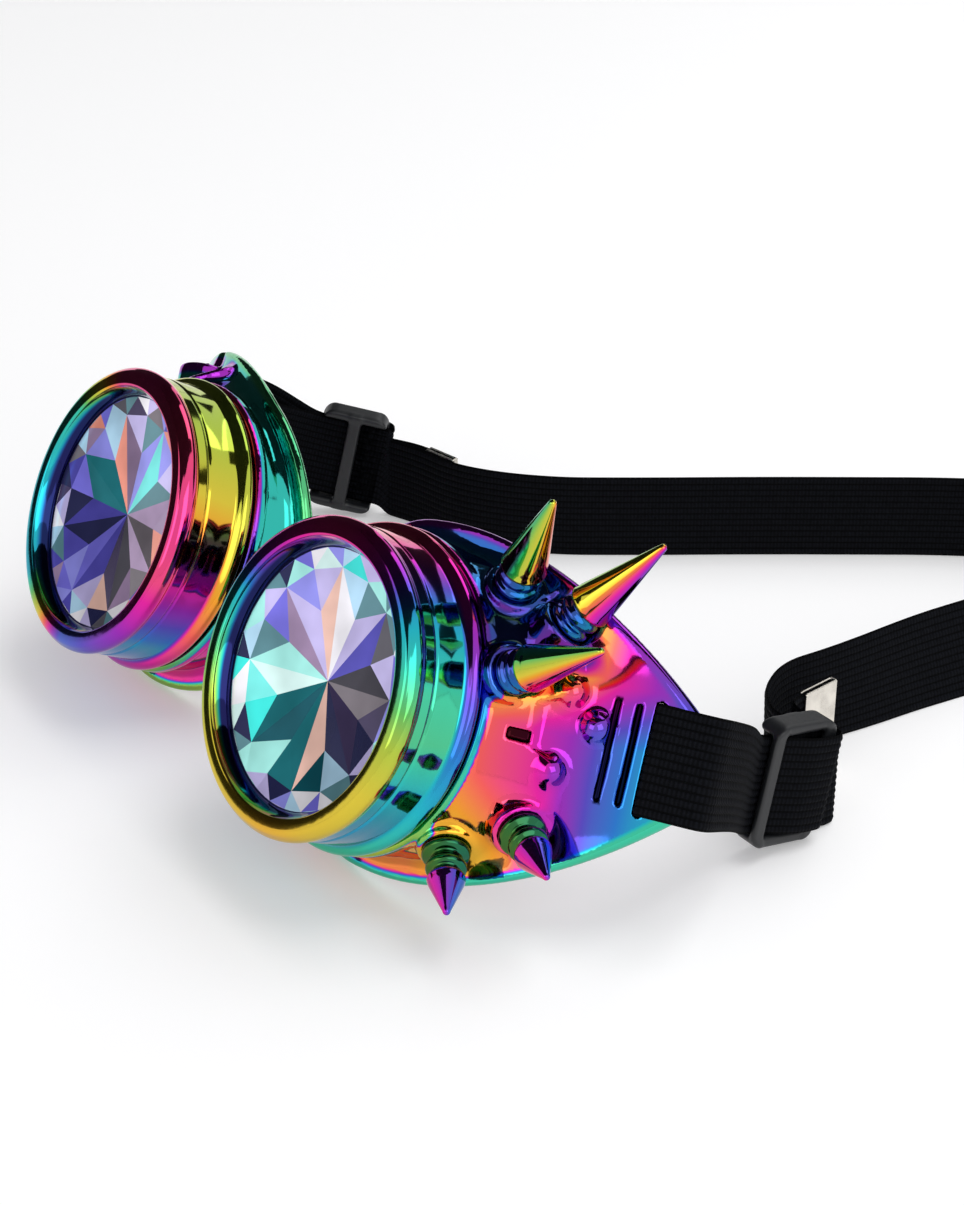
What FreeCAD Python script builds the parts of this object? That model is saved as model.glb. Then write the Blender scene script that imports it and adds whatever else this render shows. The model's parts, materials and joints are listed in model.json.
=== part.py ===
"""Steampunk goggles: two flanged eye cups with screw-on lens rims, faceted lenses, spikes and a head strap.

The goggles lie on a table as they are put down: tipped back on the lower edges of the cup flanges,
with the strap standing on edge behind them. Millimetres, +Z up, lenses facing -Y, wearer's left at +X.
Each cup is drawn in its own frame: x towards the temple, y up, z forward out of the lens, with z = 0 at
the crest of the rim's front bead.
"""
import FreeCAD, Part
import math
import os
import re

import Sketcher

Vector = FreeCAD.Vector
Rotation = FreeCAD.Rotation
Placement = FreeCAD.Placement

SIZES = {
    # Pose of the cups on the table
    "cup_spacing": 84.0,
    "pitch_angle": 27.8,
    "toe_angle": 1.5,
    "roll_angle": 15.0,
    # Lens, its seat and its soft ring
    "lens_gap": 0.7,
    "lens_edge": 3.0,
    "girdle_land": 2.4,
    "pavilion_depth": 5.0,
    "seat_depth": 1.3,
    "gasket_height": 1.0,
    "gasket_inset": 0.2,
    "gasket_width": 1.6,
    # Screw-on rim
    "lip_overlap": 2.2,
    "lip_bevel": 1.4,
    "lip_land": 1.0,
    "rim_front": 2.5,
    "rim_length": 17.5,
    "rim_wall": 2.1,
    "thread_gap": 0.9,
    "bead_rise": 0.8,
    "bead_half_width": 2.2,
    "bead_crown_inset": 2.1,
    "rear_bead_rise": 1.3,
    "rear_bead_width": 3.4,
    # Eye cup
    "neck_radius": 30.0,
    "neck_step": 2.8,
    "neck_inset": 0.6,
    "barrel_wall": 1.8,
    "shoulder_gap": 0.4,
    "shoulder_step": 2.0,
    "shoulder_width": 3.0,
    "wall": 2.0,
    "skirt_past": 3.2,
    "skirt_flare": 1.8,
    "face_depth": 25.0,
    "face_radius": 90.0,
    "flange_thickness": 2.2,
    "flange_lip": 4.5,
    "flange_reach": 61.0,
    # Temple vents, strap slot and relief
    "vent_inset": 15.0,
    "vent_pitch": 2.6,
    "vent_width": 1.1,
    "vent_length": 19.0,
    "slot_inset": 9.0,
    "slot_width": 2.2,
    "dome_radius": 2.6,
    "notch_length": 4.6,
    "notch_width": 2.2,
    "notch_depth": 0.9,
    # Spike bosses, spikes and their screws
    "boss_radius": 5.5,
    "boss_height": 2.8,
    "boss_root": 4.0,
    "boss_hole_radius": 1.6,
    "head_seat_height": 0.3,
    "head_seat_radius": 3.1,
    "collar_radius": 4.3,
    "collar_height": 1.7,
    "groove_radius": 3.4,
    "groove_height": 1.3,
    "cone_radius": 4.1,
    "long_cone": 20.0,
    "short_cone": 10.0,
    "tip_radius": 0.8,
    "tip_flat": 0.3,
    "screw_head_radius": 2.7,
    "screw_head_height": 1.4,
    "screw_radius": 1.5,
    "screw_length": 6.0,
    "screw_end_gap": 0.5,
    # Nose bridge
    "lug_root": 1.4,
    "lug_rail": 2.2,
    "lug_front": 20.5,
    "lug_depth": 4.0,
    "lug_slot_inset": 1.6,
    "lug_slot_width": 2.0,
    "bridge_width": 12.0,
    "bridge_thickness": 1.2,
    "soft_gap": 0.3,
    # Strap and sliders
    "strap_width": 21.0,
    "strap_thickness": 0.9,
    "layer_gap": 0.2,
    "strap_reach": 170.0,
    "strap_margin": 1.5,
    "strap_landing": 4.0,
    "slider_dip_angle": 12.0,
    "slider_height": 27.0,
    "slider_length": 17.0,
    "slider_bar": 3.2,
    "slider_rail": 2.6,
    "slider_bar_thickness": 1.6,
    "slider_corner": 2.8,
    "slider_travel": 6.0,
    "clip_length": 9.0,
    "clip_plate": 0.5,
    # Overrun of cutting solids past the faces they cut
    "overrun": 4.0,
}

# Corners of the skirt and of the flange: corner x over its reach, corner y over its nose radius, and the
# same two for a point of the brow.
SKIRT_SHARES = (0.876, 0.800, 0.478, 1.210)
FLANGE_SHARES = (0.943, 0.275, 0.541, 0.820)
# Outer bar of a bridge lug, as a share of the room between its slot and the middle of the nose.
LUG_BAR_SHARE = 0.405
# Places of the spikes round the left cup: polar angle, stand-off from the wall over boss height, depth
# behind the neck over the neck's distance from the face, turn of the spike from radial, forward tilt, and
# whether its cone is the long one.
SPIKE_SHARES = {
    "long_spike_upper": (45.0, -0.113, 0.811, 0.0, 25.0, True),
    "long_spike_middle": (28.9, 0.008, 1.256, 17.0, -6.0, True),
    "long_spike_lower": (16.0, 0.003, 0.311, 2.6, 5.0, True),
    "short_spike_front": (-45.4, -0.105, 0.644, -1.0, 20.6, False),
    "short_spike_rear": (-26.2, 0.020, 1.233, 2.2, 15.0, False),
}
# Domed rivets beside the cog notches: x over skirt reach, y over neck radius.
DOME_SHARES = [(0.640, 0.297), (0.709, 0.117), (0.635, -0.197)]
# Cog notches round the neck: polar angle, radius over neck radius.
NOTCH_SHARES = [(-1.4, 1.182), (-24.0, 1.256), (22.0, 1.215), (-46.0, 1.248)]
# Facets of a lens: how many main facets, and where their corners lie on the pavilion radius.
MAIN_FACETS = 8
FACET_RING_SHARE = 0.6
# Places of the sliders: how far outside and behind the temple tip of their cup, over the slider's length.
SLIDER_SHARES = {"left": (-0.775, 1.822), "right": (-0.820, 2.072)}
RUN_ANGLES = {"left": 2.0, "right": -39.0}
# Plan places of the strap behind the sliders: x over the left slider's x, and how far behind it over strap
# reach.
TAIL_SHARES = {"left": [(1.001, 0.122), (0.890, 0.081), (0.827, 0.078), (0.808, 0.153)],
               "right": [(-0.832, 0.099), (-0.700, 0.113)]}
BAND_SHARES = [(0.983, 0.107), (0.850, 0.049), (0.763, 0.072), (0.697, 0.128), (0.722, 0.201),
               (0.735, 0.259), (0.743, 0.340), (0.758, 0.409), (0.786, 0.543), (0.825, 0.690),
               (0.859, 0.851), (0.835, 0.976), (0.738, 0.999), (0.612, 0.947), (0.456, 0.829),
               (0.194, 0.682), (-0.126, 0.443), (-0.299, 0.307), (-0.438, 0.203), (-0.556, 0.143),
               (-0.676, 0.103), (-0.820, 0.088)]
# Slant of a fold's front leg: its foot and its crown set back by these many strap thicknesses.
FOLD_SHARES = (2.4, 0.2)
# How far a bend of the strap reaches into the shorter of its two runs.
BEND_SHARE = 0.4
HALF_ROOT = math.sqrt(0.5)

# Sizes that follow from others. The cup's neck carries the barrel, the rim is screwed on the barrel, and
# the lens lies in the rim.
BARREL_RADIUS = "(neck_radius - neck_step)"
BARREL_BORE = f"({BARREL_RADIUS} - barrel_wall)"
RIM_BORE = f"({BARREL_RADIUS} + thread_gap)"
BAND_RADIUS = f"({RIM_BORE} + rim_wall)"
BEAD_RADIUS = f"({BAND_RADIUS} + bead_rise)"
REAR_BEAD_RADIUS = f"({BEAD_RADIUS} + rear_bead_rise)"
LENS_RADIUS = f"({RIM_BORE} - lens_gap)"
SIGHT_RADIUS = f"({LENS_RADIUS} - lip_overlap)"
PAVILION_RADIUS = f"({LENS_RADIUS} - girdle_land)"
GASKET_OUTSIDE = f"({LENS_RADIUS} - gasket_inset)"
GASKET_INSIDE = f"({GASKET_OUTSIDE} - gasket_width)"
RIM_BACK = "rim_front - rim_length"
LENS_BACK = "seat_depth + lens_edge"
BARREL_FRONT = f"{LENS_BACK} + gasket_height"
SHOULDER_FRONT = "rim_length - rim_front + shoulder_gap"
SHOULDER_BACK = f"{SHOULDER_FRONT} + shoulder_width"
SHOULDER_RADIUS = "(neck_radius + shoulder_step)"
NECK_DEPTH = f"{SHOULDER_FRONT} + neck_inset"
FLANGE_RADIUS = "(neck_radius + flange_lip)"
FACE_FRONT = "(face_radius + flange_thickness)"
FACE_FALL = "(face_radius - (face_radius ^ 2 - flange_reach ^ 2) ^ 0.5)"
SKIRT_REACH = "(flange_reach + skirt_flare)"
SKIRT_DEPTH = f"(face_depth + {FACE_FALL} + skirt_past)"
VENT_PLACE = "(flange_reach - vent_inset)"
SLOT_PLACE = "(flange_reach - slot_inset)"
LUG_SLOT_SIDE = "(neck_radius + lug_slot_inset + lug_slot_width)"
LUG_BAR = f"({LUG_BAR_SHARE} * (cup_spacing / 2 - {LUG_SLOT_SIDE}))"
LUG_OUTSIDE = f"({LUG_SLOT_SIDE} + {LUG_BAR})"
LUG_HEIGHT = "(bridge_width + 2 * soft_gap + 2 * lug_rail)"
CHANNEL = "strap_thickness + layer_gap / 2 + soft_gap"

doc = FreeCAD.newDocument("goggles")
sheet = doc.addObject("Spreadsheet::Sheet", "sizes")
for row, (alias, number) in enumerate(SIZES.items(), 1):
    sheet.set(f"A{row}", alias)
    sheet.set(f"B{row}", str(number))
    sheet.setAlias(f"B{row}", alias)
doc.recompute()
pieces = {}


def size(text):
    """Value of one cell of the sheet, or of a sum written with the cells' aliases."""
    return float(sheet.evalExpression(text))


def bound(text):
    """Expression on the sheet's cells, from a sum written with their aliases."""
    return re.sub(r"[a-z_]{3,}", lambda word: "sizes." + word.group(0), text)


def bind(feature, **formulas):
    """Tie properties of a feature to the sheet."""
    for name, text in formulas.items():
        feature.setExpression(name.replace("__", "."), bound(text))


def origin_plane(body, role):
    for feature in body.Origin.OriginFeatures:
        if feature.Role == role:
            return feature
    raise ValueError(role)


def outline(sketch, start, *steps):
    """Closed counter-clockwise outline of corners (x, y) and arcs (over_x, over_y, x, y)."""
    def pin(geometry, position, x_text, y_text):
        for kind, text, axis in (("DistanceX", x_text, -2), ("DistanceY", y_text, -1)):
            if text == "0":
                sketch.addConstraint(Sketcher.Constraint("PointOnObject", geometry, position, axis))
                continue
            amount = sheet.evalExpression(text)
            at = sketch.addConstraint(Sketcher.Constraint(kind, -1, 1, geometry, position, float(amount)))
            sketch.setExpression(f"Constraints[{at}]", bound(text))

    def point(pair):
        return Vector(float(sheet.evalExpression(pair[0])), float(sheet.evalExpression(pair[1])), 0)

    corner, edges = start, []
    closing = () if steps[-1][-2:] == start else (start,)
    for step in steps + closing:
        goal = step[-2:]
        if len(step) == 4:
            edge = sketch.addGeometry(Part.Arc(point(corner), point(step[:2]), point(goal)))
            middle = sketch.addGeometry(Part.Point(point(step[:2])), True)
            sketch.addConstraint(Sketcher.Constraint("PointOnObject", middle, 1, edge))
            pin(middle, 1, *step[:2])
        else:
            edge = sketch.addGeometry(Part.LineSegment(point(corner), point(goal)))
        pin(edge, 1, *corner)
        edges.append(edge)
        corner = goal
    for edge, following in zip(edges, edges[1:] + edges[:1]):
        sketch.addConstraint(Sketcher.Constraint("Coincident", edge, 2, following, 1))


def rectangle(sketch, left, right, low, high):
    outline(sketch, (left, low), (right, low), (right, high), (left, high))


def body_sketch(body, role, name):
    sketch = body.newObject("Sketcher::SketchObject", name)
    sketch.AttachmentSupport = [(origin_plane(body, role), "")]
    sketch.MapMode = "FlatFace"
    return sketch


def turned_body(label, start, *steps):
    """Body turned about its z axis from half a section given as (radius, z) corners."""
    body = doc.addObject("PartDesign::Body", label)
    sketch = body_sketch(body, "XZ_Plane", label + "_section")
    outline(sketch, start, *steps)
    turning = body.newObject("PartDesign::Revolution", label + "_turning")
    turning.Profile = sketch
    turning.ReferenceAxis = (sketch, ["V_Axis"])
    turning.Angle = 360.0
    return body


def loose_sketch(name, depth):
    """Sketch across a cup's axis, the named depth behind the front bead."""
    sketch = doc.addObject("Sketcher::SketchObject", name)
    sketch.setExpression("Placement.Base.z", bound(f"-({depth})"))
    return sketch


def cylinder(name, radius, height, place=None, **more):
    solid = doc.addObject("Part::Cylinder", name)
    bind(solid, Radius=radius, Height=height)
    if place is not None:
        solid.Placement = place
    bind(solid, **more)
    return solid


def fused(name, parts):
    union = doc.addObject("Part::MultiFuse", name)
    union.Shapes = parts
    return union


def cut(name, base, tool):
    remains = doc.addObject("Part::Cut", name)
    remains.Base = base
    remains.Tool = tool
    return remains


def keep(node, feature, place):
    feature.Label = node
    feature.Placement = place
    pieces[node] = feature


def mirrored(node, source):
    """Right-hand twin of a left-hand piece, across the wearer's middle plane."""
    twin = doc.addObject("Part::Mirroring", node)
    twin.Source = source
    twin.Base = Vector(0, 0, 0)
    twin.Normal = Vector(1, 0, 0)
    twin.Label = node
    pieces[node] = twin


def cup_place():
    turn = Rotation(Vector(1, 0, 0), 90 - size("pitch_angle"))
    turn = turn * Rotation(Vector(0, 1, 0), size("toe_angle"))
    turn = turn * Rotation(Vector(0, 0, 1), size("roll_angle"))
    return Placement(Vector(size("cup_spacing") / 2, 0, 0), turn)


def spike_place(share):
    """Frame of a spike in its cup: z along the spike, origin on the outside of the cup wall."""
    polar, stand_share, depth_share, turn, tilt, _ = share
    neck = size(NECK_DEPTH)
    middle = Vector(0, 0, -neck - depth_share * (size("face_depth") - neck))
    radial = Vector(math.cos(math.radians(polar)), math.sin(math.radians(polar)), 0)
    ray = Part.LineSegment(middle, middle + radial * size(f"2 * {SKIRT_REACH}")).toShape()
    reach = ray.common(doc.getObject("cup_outside").Shape).Length
    spot = middle + radial * (reach + stand_share * size("boss_height"))
    heading = math.radians(polar + turn)
    lean = math.radians(tilt)
    along = Vector(math.cos(heading) * math.cos(lean), math.sin(heading) * math.cos(lean), math.sin(lean))
    return Placement(spot, Rotation(Vector(0, 0, 1), along))


def wall_place(x, y):
    """Frame on the outside of the temple wall: z out of the wall, x down its slope to the temple."""
    run = size(f"{SKIRT_REACH} - neck_radius")
    fall = size(f"{SKIRT_DEPTH} - ({NECK_DEPTH})")
    slope = math.atan2(fall, run)
    depth = size(NECK_DEPTH) + (math.hypot(x, y) - size("neck_radius")) * fall / run
    return Placement(Vector(x, y, -depth), Rotation(Vector(0, 1, 0), math.degrees(slope)))


def flange_arc(x, radius):
    """Point of an arc about the face's middle line, at the heading of the flange's front at the given x."""
    heading = math.asin(x / size(FACE_FRONT))
    drop = size("face_depth") + size("face_radius")
    return Vector(radius * math.sin(heading), 0, radius * math.cos(heading) - drop)


def flange_place(x):
    """Frame on the front of the flange: z out of the flange, x along it to the temple."""
    spot = flange_arc(x, size(FACE_FRONT))
    out = spot - flange_arc(x, size("face_radius"))
    return Placement(spot, Rotation(Vector(0, 0, 1), out))


def make_rim():
    """Screw-on ring: front bead, plain band, rear grip bead, and a lip that holds the lens."""
    bead_front = f"{RIM_BACK} + rear_bead_width"
    rim = turned_body(
        "rim_left", (RIM_BORE, RIM_BACK), (BEAD_RADIUS, RIM_BACK),
        (REAR_BEAD_RADIUS, f"{RIM_BACK} + rear_bead_width / 2", BEAD_RADIUS, bead_front),
        (BAND_RADIUS, bead_front), (BAND_RADIUS, "-bead_half_width"),
        (BEAD_RADIUS, "0", f"{BEAD_RADIUS} - bead_crown_inset", "rim_front"),
        (f"{SIGHT_RADIUS} + lip_bevel", "rim_front"), (SIGHT_RADIUS, "lip_land - seat_depth"),
        (SIGHT_RADIUS, "-seat_depth"), (RIM_BORE, "-seat_depth"))
    keep("lens_rim_left", rim, cup_place())
    mirrored("lens_rim_right", rim)


def pavilion_shape():
    """Faceted back of a lens: kites that meet at the apex, and pairs of break facets below the girdle."""
    reach = size(PAVILION_RADIUS)
    depth = size("pavilion_depth")
    half = math.pi / MAIN_FACETS
    ring = FACET_RING_SHARE * reach
    rise = ring * math.cos(half) * depth / reach
    girdle = [Vector(reach * math.cos(k * half), reach * math.sin(k * half), 0)
              for k in range(2 * MAIN_FACETS)]
    corners = [Vector(ring * math.cos((2 * k + 1) * half), ring * math.sin((2 * k + 1) * half), rise - depth)
               for k in range(MAIN_FACETS)]
    apex = Vector(0, 0, -depth)
    loops = [girdle]
    for k in range(MAIN_FACETS):
        before = corners[k - 1]
        after = corners[k]
        tip = girdle[2 * k]
        beside = girdle[2 * k + 1]
        following = girdle[(2 * k + 2) % len(girdle)]
        loops += [[apex, before, tip, after], [after, tip, beside], [after, beside, following]]
    faces = [Part.Face(Part.makePolygon(loop + loop[:1])) for loop in loops]
    return Part.Solid(Part.Shell(faces))


def make_lens():
    """Clear disc with a flat front and a cut back, held between the rim's lip and the soft ring."""
    disc = cylinder("lens_disc", LENS_RADIUS, "lens_edge", Placement__Base__z=f"-({LENS_BACK})")
    pavilion = doc.addObject("Part::Feature", "lens_pavilion")
    pavilion.Shape = pavilion_shape()
    bind(pavilion, Placement__Base__z=f"-({LENS_BACK})")
    lens = fused("lens_left", [disc, pavilion])
    keep("kaleidoscope_lens_left", lens, cup_place())
    mirrored("kaleidoscope_lens_right", lens)


def make_gasket():
    low = f"-({BARREL_FRONT})"
    high = f"-({LENS_BACK})"
    ring = turned_body("gasket_left", (GASKET_INSIDE, low), (GASKET_OUTSIDE, low),
                       (GASKET_OUTSIDE, high), (GASKET_INSIDE, high))
    keep("lens_gasket_left", ring, cup_place())
    mirrored("lens_gasket_right", ring)


def egg(sketch, nose, reach, corner_x, corner_y, brow_x, brow_y):
    """Round nose side, brow and cheek arcs that run out to the temple, and a rounded temple end."""
    outline(sketch, ("0", nose), (f"-({nose})", "0", "0", f"-({nose})"),
            (brow_x, f"-({brow_y})", corner_x, f"-({corner_y})"), (reach, "0", corner_x, corner_y),
            (brow_x, brow_y, "0", nose))


def round_section(sketch, radius):
    """Circle with its corners at the headings of the skirt's, so that the wall runs straight between."""
    corner_x, corner_y = SKIRT_SHARES[:2]
    heading = math.atan2(corner_y * size("neck_radius"), corner_x * size(SKIRT_REACH))
    middle = (math.pi / 2 + heading) / 2
    names = [f"({radius}) * {share:.9f}" for share in
             (math.cos(middle), math.sin(middle), math.cos(heading), math.sin(heading))]
    egg(sketch, radius, radius, names[2], names[3], names[0], names[1])


def flared(name, neck_radius, neck_at, inset):
    """Solid between a round neck and the egg-shaped skirt, drawn in by the inset."""
    neck = loose_sketch(name + "_neck", neck_at)
    round_section(neck, neck_radius)
    skirt = loose_sketch(name + "_skirt", SKIRT_DEPTH)
    corner_x, corner_y, brow_x, brow_y = SKIRT_SHARES
    egg(skirt, f"neck_radius - {inset}", f"{SKIRT_REACH} - {inset}",
        f"{corner_x} * {SKIRT_REACH} - {inset}", f"{corner_y} * neck_radius - {inset}",
        f"{brow_x} * {SKIRT_REACH}", f"{brow_y} * neck_radius - {inset}")
    solid = doc.addObject("Part::Loft", name)
    solid.Sections = [neck, skirt]
    solid.Solid = True
    solid.Ruled = True
    return solid


def face_roll(name, radius):
    """Round bar across the face, whose front marks where the wearer's face comes."""
    roll = cylinder(name, radius, f"4 * {FLANGE_RADIUS}")
    roll.Placement = Placement(Vector(0, 0, 0), Rotation(Vector(1, 0, 0), -90))
    bind(roll, Placement__Base__y=f"-2 * {FLANGE_RADIUS}", Placement__Base__z="-(face_depth + face_radius)")
    return roll


def flange_plate():
    """Flange that follows the face: an egg-shaped column crossed with a thin curved sheet."""
    shape = loose_sketch("flange_outline", f"{SKIRT_DEPTH} + overrun")
    corner_x, corner_y, brow_x, brow_y = FLANGE_SHARES
    egg(shape, FLANGE_RADIUS, "flange_reach", f"{corner_x} * flange_reach", f"{corner_y} * {FLANGE_RADIUS}",
        f"{brow_x} * flange_reach", f"{brow_y} * {FLANGE_RADIUS}")
    column = doc.addObject("Part::Extrusion", "flange_column")
    column.Base = shape
    column.DirMode = "Normal"
    column.Solid = True
    bind(column, LengthFwd=SKIRT_DEPTH)
    sheet_metal = cut("flange_sheet", face_roll("flange_front", FACE_FRONT),
                      face_roll("flange_back", "face_radius"))
    plate = doc.addObject("Part::Common", "flange_plate")
    plate.Base = column
    plate.Tool = sheet_metal
    return plate


def wall_box(name, place, length, width, depth):
    """Block centred on a wall frame, for a slot or notch through the wall."""
    block = doc.addObject("Part::Box", name)
    bind(block, Length=width, Width=length, Height=depth)
    doc.recompute()
    half = Vector(-block.Length.Value / 2, -block.Width.Value / 2, -block.Height.Value / 2)
    block.Placement = Placement(place.multVec(half), place.Rotation)
    return block


def bridge_lug():
    """Upright staple on the nose side, square to the middle of the face, for the bridge band."""
    seat = cup_place().inverse() * middle_place()
    end = size(f"cup_spacing / 2 - {LUG_OUTSIDE}")
    low = -size("lug_front") - size("lug_depth")
    lug = doc.addObject("Part::Box", "bridge_lug")
    bind(lug, Length=f"{LUG_OUTSIDE} - neck_radius + lug_root", Width=LUG_HEIGHT, Height="lug_depth")
    lug.Placement = seat * Placement(Vector(end, -size(LUG_HEIGHT) / 2, low), Rotation())
    slot = doc.addObject("Part::Box", "bridge_slot")
    bind(slot, Length="lug_slot_width", Width="bridge_width + 2 * soft_gap",
         Height="lug_depth + 2 * overrun")
    side = -size("bridge_width") / 2 - size("soft_gap")
    corner = Vector(end + size(LUG_BAR), side, low - size("overrun"))
    slot.Placement = seat * Placement(corner, Rotation())
    return cut("bridge_staple", lug, slot)


def rim_room():
    """Room for the rim as it is screwed on, which the spike bosses keep clear of."""
    back = f"({SHOULDER_FRONT} - shoulder_gap / 2)"
    return cylinder("rim_room", f"{REAR_BEAD_RADIUS} + shoulder_gap", f"{back} + overrun",
                    Placement__Base__z=f"-{back}")


def make_cup():
    """Moulded cup: barrel for the rim, shoulder, flared wall, face flange, spike bosses and bridge lug."""
    barrel = cylinder("barrel", BARREL_RADIUS, f"{SHOULDER_BACK} - ({BARREL_FRONT})",
                      Placement__Base__z=f"-({SHOULDER_BACK})")
    shoulder = cylinder("shoulder", SHOULDER_RADIUS, "shoulder_width",
                        Placement__Base__z=f"-({SHOULDER_BACK})")
    walls = cut("cup_walls", flared("cup_outside", "neck_radius", NECK_DEPTH, "0"),
                face_roll("face_side", "face_radius"))
    doc.recompute()
    bosses, bores = [], []
    for node, share in SPIKE_SHARES.items():
        place = spike_place(share)
        root = place * Placement(Vector(0, 0, -size("boss_root")), Rotation())
        bosses.append(cylinder(node + "_boss", "boss_radius", "boss_root + boss_height", root))
        bores.append(cylinder(node + "_bore", "boss_hole_radius", "boss_root + boss_height + overrun", root))
        seat = place * Placement(Vector(0, 0, size("head_seat_height") - 3 * size("overrun")), Rotation())
        bores.append(cylinder(node + "_head_seat", "head_seat_radius", "3 * overrun", seat))
        top = place * Placement(Vector(0, 0, size("boss_height")), Rotation())
        bores.append(cylinder(node + "_relief", "collar_radius + soft_gap", "2 * overrun", top))
    domes = []
    for number, (x_share, y_share) in enumerate(DOME_SHARES):
        dome = doc.addObject("Part::Sphere", f"rivet_dome_{number}")
        bind(dome, Radius="dome_radius")
        spot = wall_place(x_share * size(SKIRT_REACH), y_share * size("neck_radius"))
        dome.Placement = spot * Placement(Vector(0, 0, -size("wall") / 2), Rotation())
        domes.append(dome)
    posts = cut("boss_posts", fused("boss_group", bosses), rim_room())
    solid = fused("cup_solid", [barrel, shoulder, walls, flange_plate(), bridge_lug(), posts] + domes)
    inside = flared("cup_inside", "neck_radius - wall", SHOULDER_BACK, "wall")
    bore = cylinder("barrel_bore", BARREL_BORE, SKIRT_DEPTH,
                    Placement__Base__z=f"-({SHOULDER_BACK} + overrun)")
    hollow = fused("cup_hollow", [inside, bore])
    slots = []
    for number in range(2):
        place = wall_place(size(VENT_PLACE) + number * size("vent_pitch"), 0)
        slots.append(wall_box(f"vent_{number}", place, "vent_length", "vent_width", "2 * overrun"))
    slots.append(wall_box("strap_slot", flange_place(size(SLOT_PLACE)), "strap_width + 2 * soft_gap",
                          "slot_width", "2 * overrun"))
    for number, (polar, share) in enumerate(NOTCH_SHARES):
        spot = wall_place(share * size("neck_radius"), 0)
        place = Placement(Vector(0, 0, 0), Rotation(Vector(0, 0, 1), polar)) * spot
        slots.append(wall_box(f"notch_{number}", place, "notch_length", "notch_width", "2 * notch_depth"))
    cup = cut("cup_left", cut("cup_shell", solid, hollow), fused("cup_openings", slots + bores))
    keep("eye_cup_left", cup, cup_place())
    mirrored("eye_cup_right", cup)


def make_spikes():
    """Turned spikes with a grooved collar, and the screws that hold them from inside the cup."""
    screws = []
    for node, share in SPIKE_SHARES.items():
        cone = "long_cone" if share[-1] else "short_cone"
        top = "boss_height + 2 * collar_height + groove_height"
        low = "boss_height + collar_height"
        hole = "head_seat_height + screw_length + screw_end_gap"
        spike = turned_body(
            node + "_turned", ("screw_radius", "boss_height"), ("collar_radius", "boss_height"),
            ("collar_radius", low), ("groove_radius", low), ("groove_radius", low + " + groove_height"),
            ("collar_radius", low + " + groove_height"), ("collar_radius", top), ("cone_radius", top),
            ("tip_radius", f"{top} + {cone} - tip_radius"),
            (f"tip_radius * {HALF_ROOT:.6f}", f"{top} + {cone} - tip_radius * {1 - HALF_ROOT:.6f}"),
            ("tip_flat", f"{top} + {cone}"), ("0", f"{top} + {cone}"), ("0", hole), ("screw_radius", hole))
        place = spike_place(share)
        keep(node, spike, cup_place() * place)
        head = cylinder(node + "_screw_head", "screw_head_radius", "screw_head_height",
                        place * Placement(Vector(0, 0, size("head_seat_height") - size("screw_head_height")),
                                          Rotation()))
        shank = cylinder(node + "_screw_shank", "screw_radius", "screw_length",
                         place * Placement(Vector(0, 0, size("head_seat_height")), Rotation()))
        screws.append(fused(node + "_screw", [head, shank]))
    group = doc.addObject("Part::Compound", "screws")
    group.Links = screws
    keep("spike_screws", group, cup_place())


def middle_place():
    """Frame midway between the cups: x to the wearer's left, y up the cups, z forward."""
    return Placement(Vector(0, 0, 0), Rotation(Vector(1, 0, 0), 90 - size("pitch_angle")))


def make_bridge():
    """Elastic nose band: one flat loop round the outer bars of both lugs."""
    body = doc.addObject("PartDesign::Body", "bridge_loop")
    side = body_sketch(body, "XZ_Plane", "bridge_section")
    bar_side = f"cup_spacing / 2 - {LUG_SLOT_SIDE} + soft_gap + soft_gap / 3"
    front = "-(lug_front - soft_gap)"
    back = "-(lug_front + lug_depth + soft_gap)"
    rectangle(side, f"-({bar_side} + bridge_thickness)", f"{bar_side} + bridge_thickness",
              f"{back} - bridge_thickness", f"{front} + bridge_thickness")
    rectangle(side, f"-({bar_side})", bar_side, back, front)
    pad = body.newObject("PartDesign::Pad", "bridge_pad")
    pad.Profile = side
    pad.SideType = "Symmetric"
    bind(pad, Length="bridge_width")
    keep("nose_bridge_band", body, middle_place())


def slider_spot(side):
    """Point of the table under the middle of a slider, set from the temple tip of its cup."""
    hand = 1 if side == "left" else -1
    tip = cup_place().multVec(flange_arc(size("flange_reach"), size(FACE_FRONT)))
    out_share, back_share = SLIDER_SHARES[side]
    long = size("slider_length")
    return Vector(hand * (tip.x + out_share * long), tip.y + back_share * long, rest_level())


def slider_place(side):
    """Frame of a slider: x along the strap away from the cup, z away from the head."""
    hand = 1 if side == "left" else -1
    heading = math.radians(RUN_ANGLES[side])
    dip = math.radians(size("slider_dip_angle"))
    rise = (size("slider_height") * math.cos(dip) + size("slider_length") * math.sin(dip)) / 2
    spot = slider_spot(side) + Vector(0, 0, rise)
    ahead = Vector(-math.sin(heading), math.cos(heading), 0)
    along = ahead * math.cos(dip) - Vector(0, 0, math.sin(dip))
    up = (ahead * math.sin(dip) + Vector(0, 0, math.cos(dip))) * hand
    return Placement(spot, Rotation(along, up, along.cross(up), "XYZ"))


def rest_level():
    """Height of the table under the cups, at the lowest point of the flanges."""
    return pieces["eye_cup_left"].Shape.optimalBoundingBox(False, False).ZMin


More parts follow.
